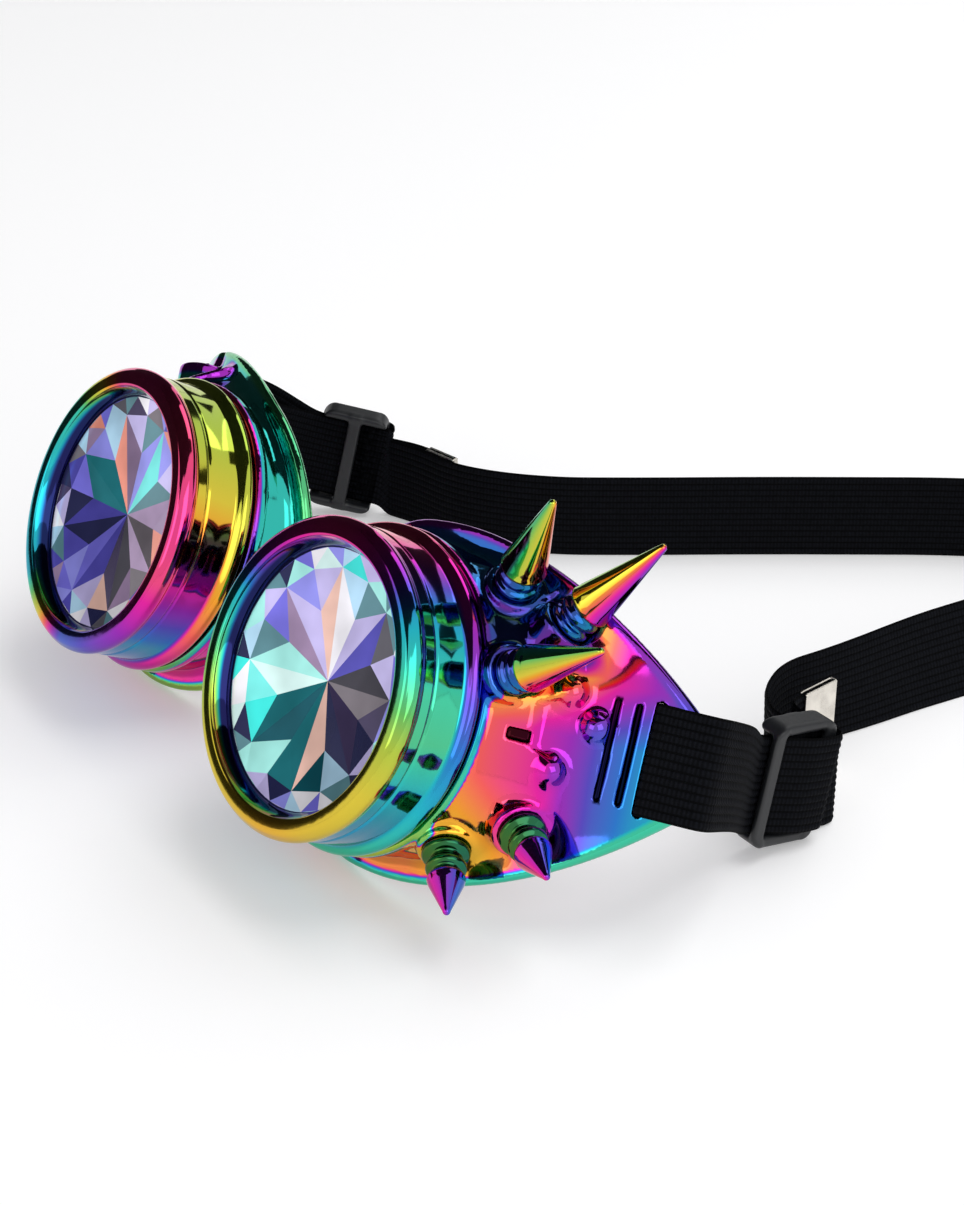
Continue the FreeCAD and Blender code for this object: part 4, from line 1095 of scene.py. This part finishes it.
def screws():
    """Pan-head screws, one to each spike, set on points that carry their headings."""
    section = [(AXIS_R, -1.4), (1.2, -1.38), (2.2, -1.1), (2.7, -0.5), (2.7, -0.02), (1.52, 0.0)]
    for thread in np.arange(0.6, 5.8, 0.5):
        section += [(1.5, thread), (1.36, thread + 0.25)]
    section += [(1.3, 5.9), (AXIS_R, 6.0)]
    points, faces = lathe(section, 28, closed=False)
    head = mesh_object("screw_pattern", points / 1000, faces)
    heads = bpy.data.meshes.new("spike_screw_seats")
    places = [CUP @ spike_frame(name) for name in SPIKES]
    heads.from_pydata([tuple((place @ Vector((0, 0, SEAT_SPAN[1]))) / 1000) for place in places], [], [])
    aims = [(place.to_3x3() @ Vector((0, 0, 1))).normalized() for place in places]
    aim = heads.attributes.new("aim", "FLOAT_VECTOR", "POINT")
    aim.data.foreach_set("vector", [c for v in aims for c in v])
    tree, start, end = node_tree("screw_setting")
    pattern = put(tree, "GeometryNodeObjectInfo", {"Object": head})
    aligned = {"Vector": named(tree, "aim", "FLOAT_VECTOR")}
    align = put(tree, "FunctionNodeAlignRotationToVector", aligned, axis="Z")
    instance = put(tree, "GeometryNodeInstanceOnPoints", {
        "Points": start.outputs["Geometry"],
        "Instance": pattern.outputs["Geometry"],
        "Rotation": align.outputs["Rotation"],
    })
    realize(tree, instance.outputs["Instances"], end,
            shared(grained, "screw_steel", finish().steel_colour, 0.3, 1.0, 500.0, 0.00005))
    obj = baked(new_object("spike_screw_set", heads), tree)
    bpy.data.objects.remove(head)
    dress(obj, "frame", "spike_screws")


def node_tree(name):
    tree = bpy.data.node_groups.new(name, "GeometryNodeTree")
    for way in ("INPUT", "OUTPUT"):
        tree.interface.new_socket("Geometry", in_out=way, socket_type="NodeSocketGeometry")
    return tree, tree.nodes.new("NodeGroupInput"), tree.nodes.new("NodeGroupOutput")


def named(tree, name, kind):
    node = put(tree, "GeometryNodeInputNamedAttribute", {"Name": name}, data_type=kind)
    return node.outputs["Attribute"]


def realize(tree, socket, end, shown):
    real = put(tree, "GeometryNodeRealizeInstances", {"Geometry": socket})
    painted = put(tree, "GeometryNodeSetMaterial", {"Material": shown, "Geometry": real.outputs["Geometry"]})
    feed(tree, end, {"Geometry": painted.outputs["Geometry"]})


def baked(obj, tree, **inputs):
    """The object with its node tree turned into a plain, smooth mesh."""
    modifier = obj.modifiers.new("setting", "NODES")
    modifier.node_group = tree
    for item in tree.interface.items_tree:
        if item.name in inputs and item.in_out == "INPUT":
            modifier[item.identifier] = inputs[item.name]
    bpy.context.view_layer.update()
    evaluated = obj.evaluated_get(bpy.context.evaluated_depsgraph_get())
    mesh = bpy.data.meshes.new_from_object(evaluated)
    obj.modifiers.remove(modifier)
    old = obj.data
    obj.data = mesh
    bpy.data.meshes.remove(old)
    mesh.name = obj.name
    mesh.polygons.foreach_set("use_smooth", [True] * len(mesh.polygons))
    return obj


# Strap


def slider_spot(side):
    tip = CUP @ flange_frame(FLANGE_REACH).to_translation()
    out, back = SLIDER_PLACES[side]
    return Vector((HANDS[side] * (tip.x + out * SLIDER_L), tip.y + back * SLIDER_L, 0))


def slider_frame(side):
    heading, dip = math.radians(RUN_ANGLES[side]), math.radians(SLIDER_DIP)
    rise = (SLIDER_H * math.cos(dip) + SLIDER_L * math.sin(dip)) / 2
    ahead = Vector((-math.sin(heading), math.cos(heading), 0))
    along = ahead * math.cos(dip) - Vector((0, 0, math.sin(dip)))
    up = (ahead * math.sin(dip) + Vector((0, 0, math.cos(dip)))) * HANDS[side]
    base = Matrix((along, up, along.cross(up))).transposed().to_4x4()
    return Matrix.Translation(slider_spot(side) + Vector((0, 0, rise))) @ base


def slider_lean(side):
    return slider_frame(side).to_3x3() @ Vector((0, HANDS[side] * STRAP_W, 0))


def route_points(shares):
    start = slider_spot("left")
    return [Vector((x * start.x, start.y + y * STRAP_REACH, 0)) for x, y in shares]


def layer_point(side, x, layer):
    return slider_frame(side) @ Vector((x, 0, layer * (STRAP_T + LAYER_GAP) / 2))


def eased_run(points, widths, reaches, step):
    """Dense points and widths along a run of straight stretches whose corners are eased."""
    spots, wides = [], []
    count = len(points)

    def lay(spot, wide):
        if not spots or (spots[-1] - spot).length > 0.05:
            spots.append(spot)
            wides.append(wide)

    def straight(a, b, wa, wb):
        steps = max(1, int((b - a).length / step))
        for k in range(steps + 1):
            t = k / steps
            lay(a.lerp(b, t), wa.lerp(wb, t))

    last, last_wide = points[0], widths[0]
    for k in range(1, count - 1):
        here, wide = points[k], widths[k]
        into, out = here - points[k - 1], points[k + 1] - here
        reach = min(reaches[k], 0.49 * into.length, 0.49 * out.length)
        a, b = here - into.normalized() * reach, here + out.normalized() * reach
        wa = wide.lerp(widths[k - 1], reach / into.length)
        wb = wide.lerp(widths[k + 1], reach / out.length)
        straight(last, a, last_wide, wa)
        bend = into.angle(out)
        steps = max(3, int(bend / 0.12), int(reach * 2 / step))
        for n in range(steps + 1):
            t = n / steps
            lay(a * (1 - t) ** 2 + here * 2 * t * (1 - t) + b * t * t, wa.lerp(wb, t))
        last, last_wide = b, wb
    straight(last, points[-1], last_wide, widths[-1])
    return spots, wides


def strap_mesh(name, spots, wides, closed=False, thick=STRAP_T, ribs=None):
    """Ribbon with lengthwise rib lines along its middle, as a mesh in metres."""
    ribs = ribs or sizes().rib_count
    count = len(spots)
    core = thick * RIBBON_CORE
    flat, tip = RIBBON_HALF
    section = [(-tip, 0.0), (-flat, -core), (flat, -core), (tip, 0.0), (flat, core), (-flat, core)]
    corners = len(section)
    size = corners + ribs
    across = [(k + 0.5) / ribs - 0.5 for k in range(ribs)]
    points, along, facing, faces, lines = [], [], [], [], []
    travel = 0.0
    for k in range(count):
        if k:
            travel += (spots[k] - spots[k - 1]).length
        before = spots[(k - 1) % count] if closed or k else spots[0]
        after = spots[(k + 1) % count] if closed or k < count - 1 else spots[-1]
        normal = (after - before).cross(wides[k]).normalized()
        points += [spots[k] + wides[k] * a + normal * b for a, b in section]
        points += [spots[k] + wides[k] * a * RIB_REACH for a in across]
        facing += [*normal] * size
        along += [travel] * size
    for k in range(count if closed else count - 1):
        here = k * size
        ahead = (k + 1) % count * size
        for c in range(corners):
            d = (c + 1) % corners
            faces.append((here + d, ahead + d, ahead + c, here + c))
        lines += [(here + c, ahead + c) for c in range(corners, size)]
    if not closed:
        faces.append(tuple(reversed(range(corners))))
        faces.append(tuple((count - 1) * size + c for c in range(corners)))
    mesh = bpy.data.meshes.new(name)
    mesh.from_pydata([tuple(p / 1000) for p in points], lines, faces)
    mesh.update()
    obj = new_object(name, mesh)
    store(obj, "along", along)
    # Painted shade mask: the ribbon's core between the ribs, darkened in the material.
    store(obj, "groove", ([1.0] * corners + [0.0] * ribs) * count)
    mesh.attributes.new("facing", "FLOAT_VECTOR", "POINT").data.foreach_set("vector", facing)
    loose = {tuple(sorted(line)) for line in lines}
    rib = [tuple(sorted(e.vertices)) in loose for e in mesh.edges]
    mesh.attributes.new("rib", "BOOLEAN", "EDGE").data.foreach_set("value", rib)
    return obj


def ribbed(obj, cloth, radius):
    """Sweeps the rib lines and joins them to the ribbon."""
    tree, start, end = node_tree("strap_ribs")
    tree.interface.new_socket("Rib Radius", in_out="INPUT", socket_type="NodeSocketFloat")
    chosen = named(tree, "rib", "BOOLEAN")
    lines = put(tree, "GeometryNodeMeshToCurve", {"Mesh": start.outputs["Geometry"], "Selection": chosen})
    circle = put(tree, "GeometryNodeCurvePrimitiveCircle", {
        "Resolution": 8,
        "Radius": start.outputs["Rib Radius"],
    })
    oval = put(tree, "GeometryNodeTransform", {
        "Scale": (1.0, RIB_SPREAD, 1.0),
        "Geometry": circle.outputs["Curve"],
    })
    held = put(tree, "GeometryNodeSetCurveNormal", mode="FREE")
    feed(tree, held, {"Curve": lines.outputs["Curve"], "Normal": named(tree, "facing", "FLOAT_VECTOR")})
    sweep = put(tree, "GeometryNodeCurveToMesh", {
        "Fill Caps": True,
        "Curve": held.outputs["Curve"],
        "Profile Curve": oval.outputs["Geometry"],
    })
    sheet = put(tree, "GeometryNodeDeleteGeometry", domain="EDGE", mode="EDGE_FACE")
    feed(tree, sheet, {"Geometry": start.outputs["Geometry"], "Selection": chosen})
    both = put(tree, "GeometryNodeJoinGeometry", {"Geometry": sheet.outputs["Geometry"]})
    feed(tree, both, {"Geometry": sweep.outputs["Mesh"]})
    realize(tree, both.outputs["Geometry"], end, cloth)
    obj = baked(obj, tree, **{"Rib Radius": radius})
    clean_loose(obj)
    obj.data.set_sharp_from_angle(angle=math.radians(50))
    return obj


def clean_loose(obj):
    """Removes the points of the swept lines, which no face uses."""
    work = bmesh.new()
    work.from_mesh(obj.data)
    bmesh.ops.delete(work, geom=[v for v in work.verts if not v.link_faces], context="VERTS")
    work.to_mesh(obj.data)
    work.free()


def loop_run(side):
    """Points, widths and eases of a strap loop from the slider, round the temple bar and back to it."""
    hand = HANDS[side]

    def in_cup(spot):
        out = CUP @ Vector(spot)
        return Vector((hand * out.x, out.y, out.z))

    def arc_spot(x, radius):
        heading = math.asin(x / (FACE_R + FLANGE_T))
        return Vector((radius * math.sin(heading), 0, radius * math.cos(heading) - FACE_W - FACE_R))

    tilt = in_cup((0, STRAP_W, 0)) - in_cup((0, 0, 0))
    lean = slider_lean(side)
    front = FACE_R + FLANGE_T
    skin_gap = SKIN_GAP + STRAP_T / 2
    slot = [arc_spot(LOOP_SLOT_X, front + skin_gap), arc_spot(LOOP_SLOT_X, FACE_R - skin_gap)]
    edge = arc_spot(FLANGE_REACH, front) + LOOP_EDGE
    fall = in_cup(edge - LOOP_TIP)
    begin = -SLIDER_L / 2 - LOOP_START
    points = [layer_point(side, LOOP_END, 1), layer_point(side, begin, 1)]
    swell = fall.lerp(points[1], SWELL_SHARE)
    swell += slider_frame(side).to_3x3() @ Vector((0, hand * SWELL[0], SWELL[1]))
    points += [swell, fall] + [in_cup(p) for p in (edge, *slot)]
    points += [layer_point(side, begin, -1), layer_point(side, LOOP_END, -1)]
    widths = [lean] * 2 + [lean.lerp(tilt, 1 - SWELL_SHARE)] + [tilt] * 4 + [lean] * 2
    return points, widths, LOOP_REACHES


def strap_end(side, layer):
    """Points and widths of a strap that leaves the slider on one layer and stands up on the floor."""
    end = SLIDER_L / 2 + RUN_OUT
    landing = layer_point(side, end + LANDING, layer)
    landing.z = STRAP_W / 2
    lean = slider_lean(side)
    points = [layer_point(side, HIDDEN_END, layer), layer_point(side, end, layer), landing]
    return points, [lean, lean, Vector((0, 0, STRAP_W))]


def strap_piece(name, points, widths, reaches, step, cloth, radius):
    return ribbed(strap_mesh(name, *eased_run(points, widths, reaches, step)), cloth, radius)


class GOGGLES_OT_strap(bpy.types.Operator):
    """Elastic strap: loops at the cups, their tails, long band and nose band"""
    bl_idname = "goggles.strap"
    bl_label = "Strap"

    def execute(self, context):
        make = (sizes().strap_step, shared(elastic, "ribbed_elastic"), sizes().rib_radius)
        upright = Vector((0, 0, STRAP_W))
        for side in HANDS:
            obj = strap_piece("elastic_loop_" + side, *loop_run(side), *make)
            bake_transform(obj)
            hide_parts("strap_loop_" + side)
            tail = [p + upright / 2 for p in route_points(TAIL_ROUTES[side])]
            points, widths = strap_end(side, 1)
            reaches = [SLIDER_REACH] * len(points) + [TAIL_REACH] * len(tail)
            widths += [upright] * len(tail)
            obj = strap_piece("elastic_tail_" + side, points + tail, widths, reaches, *make)
            dress(obj, "frame", "strap_loop_" + side)
        near, far = (strap_end(side, -1) for side in HANDS)
        plan = route_points(BAND_ROUTE)
        route, leans = [], []
        for k, spot in enumerate(plan):
            along = plan[min(k + 1, len(plan) - 1)] - plan[max(k - 1, 0)]
            away = Vector((0, 0, 1)).cross(along).normalized()
            lean = math.radians(float(np.interp(k, *BAND_LEAN)))
            leans.append((away * math.sin(lean) + Vector((0, 0, math.cos(lean)))) * STRAP_W)
            route.append(spot + leans[-1] / 2)
        points = near[0] + route + far[0][::-1]
        widths = near[1] + leans + far[1][::-1]
        ends = [SLIDER_REACH] * 2
        reaches = ends + [BAND_REACH] * (len(points) - 4) + ends
        obj = strap_piece("elastic_band", points, widths, reaches, *make)
        dress(obj, "frame", "strap_band")
        nose_band()
        return {"FINISHED"}


def nose_band():
    """Flat elastic loop through the bridge lugs."""
    side_x = SPACING / 2 - NOSE_X
    front, back = NOSE_Z
    corners = ((0, front), (side_x, front), (side_x, back), (-side_x, back), (-side_x, front), (0, front))
    points = [MIDDLE @ Vector((x, 0, z)) for x, z in corners]
    wide = MIDDLE.to_3x3() @ Vector((0, NOSE_W, 0))
    count = len(points)
    spots, wides = eased_run(points, [wide] * count, [NOSE_EASE] * count, NOSE_STEP)
    obj = strap_mesh("elastic_nose_band", spots[:-1], wides[:-1], closed=True, thick=NOSE_T, ribs=NOSE_RIBS)
    obj = ribbed(obj, shared(elastic, "nose_elastic"), NOSE_RIB_R)
    dress(obj, "frame", "nose_bridge_band")


def slider_field(x, y, z):
    """Three-bar slider with rounded bars."""
    half = CHANNEL + SLIDER_BAR_T
    rail_mid = SLIDER_H / 2 - SLIDER_RAIL / 2
    end_mid = SLIDER_L / 2 - SLIDER_BAR / 2
    lift = CHANNEL + SLIDER_BAR_T / 2
    long = np.abs(x) - SLIDER_L / 2
    tall = np.abs(y) - SLIDER_H / 2
    rails = eased_box([long, np.abs(np.abs(y) - rail_mid) - SLIDER_RAIL / 2, np.abs(z) - half], ease=1.28)
    ends = eased_box([np.abs(np.abs(x) - end_mid) - SLIDER_BAR / 2, tall + BAR_INSET,
                      np.abs(z - lift) - SLIDER_BAR_T / 2], ease=0.7)
    middle = eased_box([np.abs(x) - SLIDER_BAR / 2, tall + BAR_INSET,
                        np.abs(z + lift) - SLIDER_BAR_T / 2], ease=0.7)
    solid = round_min(round_min(rails, ends, ease=0.9), middle, ease=0.9)
    return round_max(solid, eased_box([long, tall], ease=4.2), ease=0.8)


class GOGGLES_OT_sliders(bpy.types.Operator):
    """Moulded sliders, the folds of strap on them and the strap end clips"""
    bl_idname = "goggles.sliders"
    bl_label = "Sliders"

    def execute(self, context):
        plastic = shared(grained, "satin_charcoal", finish().slider_colour, 0.42, 0.0, 1400.0, 0.00006)
        metal = shared(grained, "clip_sheet", finish().clip_colour, 0.28, 1.0, 300.0, 0.00004)
        cloth = shared(elastic, "ribbed_elastic")
        points, faces = skin(slider_field, (-10.0, -15.0, -4.5), (10.0, 15.0, 4.5), 0.3)
        for side in HANDS:
            place = slider_frame(side)
            obj = mesh_object("moulded_slider_" + side, placed(points, place), faces.tolist(), plastic)
            dress(obj, "slider_" + side, "slider_" + side)
            path = [place @ Vector((x, 0, z)) for x, z in FOLD_PATH]
            widths = [slider_lean(side)] * len(path)
            obj = strap_piece("elastic_fold_" + side, path, widths, [FOLD_EASE] * len(path), FOLD_STEP,
                              cloth, sizes().rib_radius)
            dress(obj, "slider_" + side, "strap_fold_" + side)
            self.clip(side, metal)
        return {"FINISHED"}

    def clip(self, side, metal):
        before, end = route_points(TAIL_ROUTES[side])[-2:]
        along = (end - before).normalized()
        across = Vector((0, 0, 1)).cross(along)
        place = Matrix((along, across, Vector((0, 0, 1)))).transposed().to_4x4()
        place = Matrix.Translation(end) @ place
        points, faces = skin(clip_field, (-10.5, -2.2, -1.0), (1.8, 2.2, 22.0), 0.22)
        obj = mesh_object("end_clip_" + side, placed(points, place), faces.tolist(), metal)
        dress(obj, "frame", "strap_end_clip_" + side)


def clip_field(x, y, z):
    """Sheet folded over the strap's end, with rounded corners."""
    half = STRAP_T / 2
    shell = eased_box([slab(x, *CLIP_SPAN), np.abs(y) - half - CLIP_T, slab(z, 0.0, STRAP_W)], ease=0.35)
    gap = np.maximum(np.abs(y) - half, x)
    return np.maximum(shell, -gap)


# Stage


SOFTBOXES = (
    ("right_softbox", (1.20, -0.15, 0.75), 0.95, 1.35, True),
    ("front_softbox", (0.25, -1.30, 0.70), 0.8, 1.2, True),
    ("rear_softbox", (-0.25, 0.95, 1.15), 0.8, 1.6, True),
    ("overhead_softbox", (0.35, 0.55, 1.50), 1.1, 3.1, False),
)
FLAGS = (
    ("ceiling_flag", ((-1.7, -1.7, 1.35), (0.55, -1.7, 1.35), (0.55, 1.7, 1.35), (-1.7, 1.7, 1.35))),
    ("left_flag", ((-1.4, -1.7, 0.22), (-1.4, 1.2, 0.22), (-1.4, 1.2, 1.35), (-1.4, -1.7, 1.35))),
    ("low_flag", ((-1.4, -1.7, 0.004), (-1.4, -0.45, 0.004), (-1.4, -0.45, 0.22), (-1.4, -1.7, 0.22))),
    ("back_flag", ((-1.4, 1.5, 0.12), (0.9, 1.5, 0.12), (0.9, 1.5, 0.75), (-1.4, 1.5, 0.75))),
)
CAMERA_AZIMUTH = 56.18
CAMERA_ELEVATION = 28.77
CAMERA_SPOT = Vector((380.26, -187.77, 227.67))
SENSOR = 36.0
FOCAL_SHARE = 2400 / 1205
FLOOR_REACH = 1.6


def rays(tree, *kinds):
    """1 for rays of these kinds, else 0."""
    path = put(tree, "ShaderNodeLightPath")
    seen = path.outputs[kinds[0]]
    for kind in kinds[1:]:
        seen = reckon(tree, "MAXIMUM", seen, path.outputs[kind])
    return seen


def stage_sheet(name, corners, made):
    mesh = bpy.data.meshes.new(name)
    mesh.from_pydata(corners, [], [(0, 1, 2, 3)])
    mesh.materials.append(made)
    return new_object(name, mesh)


class GOGGLES_OT_stage(bpy.types.Operator):
    """Floor, light and camera"""
    bl_idname = "goggles.stage"
    bl_label = "Stage"

    def execute(self, context):
        context.scene.view_settings.view_transform = "Standard"
        self.camera(context.scene)
        self.floor()
        self.world(context.scene)
        self.lights(context.scene)
        return {"FINISHED"}

    def camera(self, scene):
        azimuth, elevation = math.radians(CAMERA_AZIMUTH), math.radians(CAMERA_ELEVATION)
        right = Vector((math.cos(azimuth), math.sin(azimuth), 0))
        back = Vector((math.sin(azimuth) * math.cos(elevation), -math.cos(azimuth) * math.cos(elevation),
                       math.sin(elevation)))
        view = bpy.data.cameras.new("camera")
        view.sensor_fit = "AUTO"
        view.sensor_width = SENSOR
        view.lens = FOCAL_SHARE * SENSOR
        view.clip_start, view.clip_end = 0.01, 20
        camera = bpy.data.objects.new("camera", view)
        turned = Matrix((right, back.cross(right), back)).transposed().to_4x4()
        spot = CENTRE - Vector((SPACING / 2, 0, 0)) + CAMERA_SPOT
        camera.matrix_world = Matrix.Translation(spot / 1000) @ turned
        scene.collection.objects.link(camera)
        scene.camera = camera

    def floor(self):
        made, tree, shader = material("studio_floor")
        seen = rays(tree, "Is Camera Ray", "Is Glossy Ray")
        feed(tree, shader, {
            "Base Color": (*finish().floor_colour, 1.0),
            "Roughness": 0.55,
            "Specular IOR Level": 0.2,
            "Emission Color": (1, 1, 1, 1),
            "Emission Strength": reckon(tree, "MULTIPLY", seen, 0.26),
        })
        sides = ((-1, -1), (1, -1), (1, 1), (-1, 1))
        corners = [(FLOOR_REACH * x, FLOOR_REACH * y, 0) for x, y in sides]
        stage_sheet("studio_floor", corners, made)

    def world(self, scene):
        world = bpy.data.worlds.new("studio")
        scene.world = world
        world.use_nodes = True
        tree = world.node_tree
        seen = rays(tree, "Is Camera Ray", "Is Glossy Ray", "Is Transmission Ray")
        level = put(tree, "ShaderNodeMapRange", {"Value": seen, "To Min": 0.42, "To Max": 1.0})
        feed(tree, tree.nodes["Background"], {
            "Strength": level.outputs["Result"],
            "Color": (1.0, 1.0, 1.0, 1.0),
        })

    def lights(self, scene):
        for name, spot, size, radiance, mirrored in SOFTBOXES:
            light = bpy.data.lights.new(name, "AREA")
            light.shape = "SQUARE"
            light.size = size
            light.energy = radiance * size * size * math.pi
            lamp = bpy.data.objects.new(name, light)
            aim = (-Vector(spot)).to_track_quat("-Z", "Y").to_matrix().to_4x4()
            lamp.matrix_world = Matrix.Translation(spot) @ aim
            lamp.visible_glossy = mirrored
            scene.collection.objects.link(lamp)
        made, tree, shader = material("black_flag")
        feed(tree, shader, {"Base Color": (0.015, 0.015, 0.016, 1.0), "Roughness": 0.9})
        for name, corners in FLAGS:
            flag = stage_sheet(name, corners, made)
            flag.visible_camera = False
            flag.visible_diffuse = False
            flag.visible_transmission = False
            flag.visible_shadow = False


class GOGGLES_PT_panel(bpy.types.Panel):
    """Steps of the goggles, in order"""
    bl_idname = "GOGGLES_PT_panel"
    bl_label = "Goggles"
    bl_space_type = "VIEW_3D"
    bl_region_type = "UI"
    bl_category = "Goggles"

    def draw(self, context):
        column = self.layout.column()
        for step in STEPS:
            column.operator(step.bl_idname)
        for group in (context.scene.goggle_sizes, context.scene.goggle_finish):
            for name in group.__annotations__:
                column.prop(group, name)


STEPS = (GOGGLES_OT_cups, GOGGLES_OT_rims, GOGGLES_OT_lenses, GOGGLES_OT_spikes, GOGGLES_OT_strap,
         GOGGLES_OT_sliders, GOGGLES_OT_stage)
CLASSES = (GoggleSizes, GoggleFinish, *STEPS, GOGGLES_PT_panel)


def register():
    for item in CLASSES:
        bpy.utils.register_class(item)
    bpy.types.Scene.goggle_sizes = PointerProperty(type=GoggleSizes)
    bpy.types.Scene.goggle_finish = PointerProperty(type=GoggleFinish)


def unregister():
    del bpy.types.Scene.goggle_finish
    del bpy.types.Scene.goggle_sizes
    for item in reversed(CLASSES):
        bpy.utils.unregister_class(item)


def main():
    register()
    bpy.ops.goggles.cups()
    bpy.ops.goggles.rims()
    bpy.ops.goggles.lenses()
    bpy.ops.goggles.spikes()
    bpy.ops.goggles.strap()
    bpy.ops.goggles.sliders()
    bpy.ops.goggles.stage()


if __name__ == "__main__":
    main()
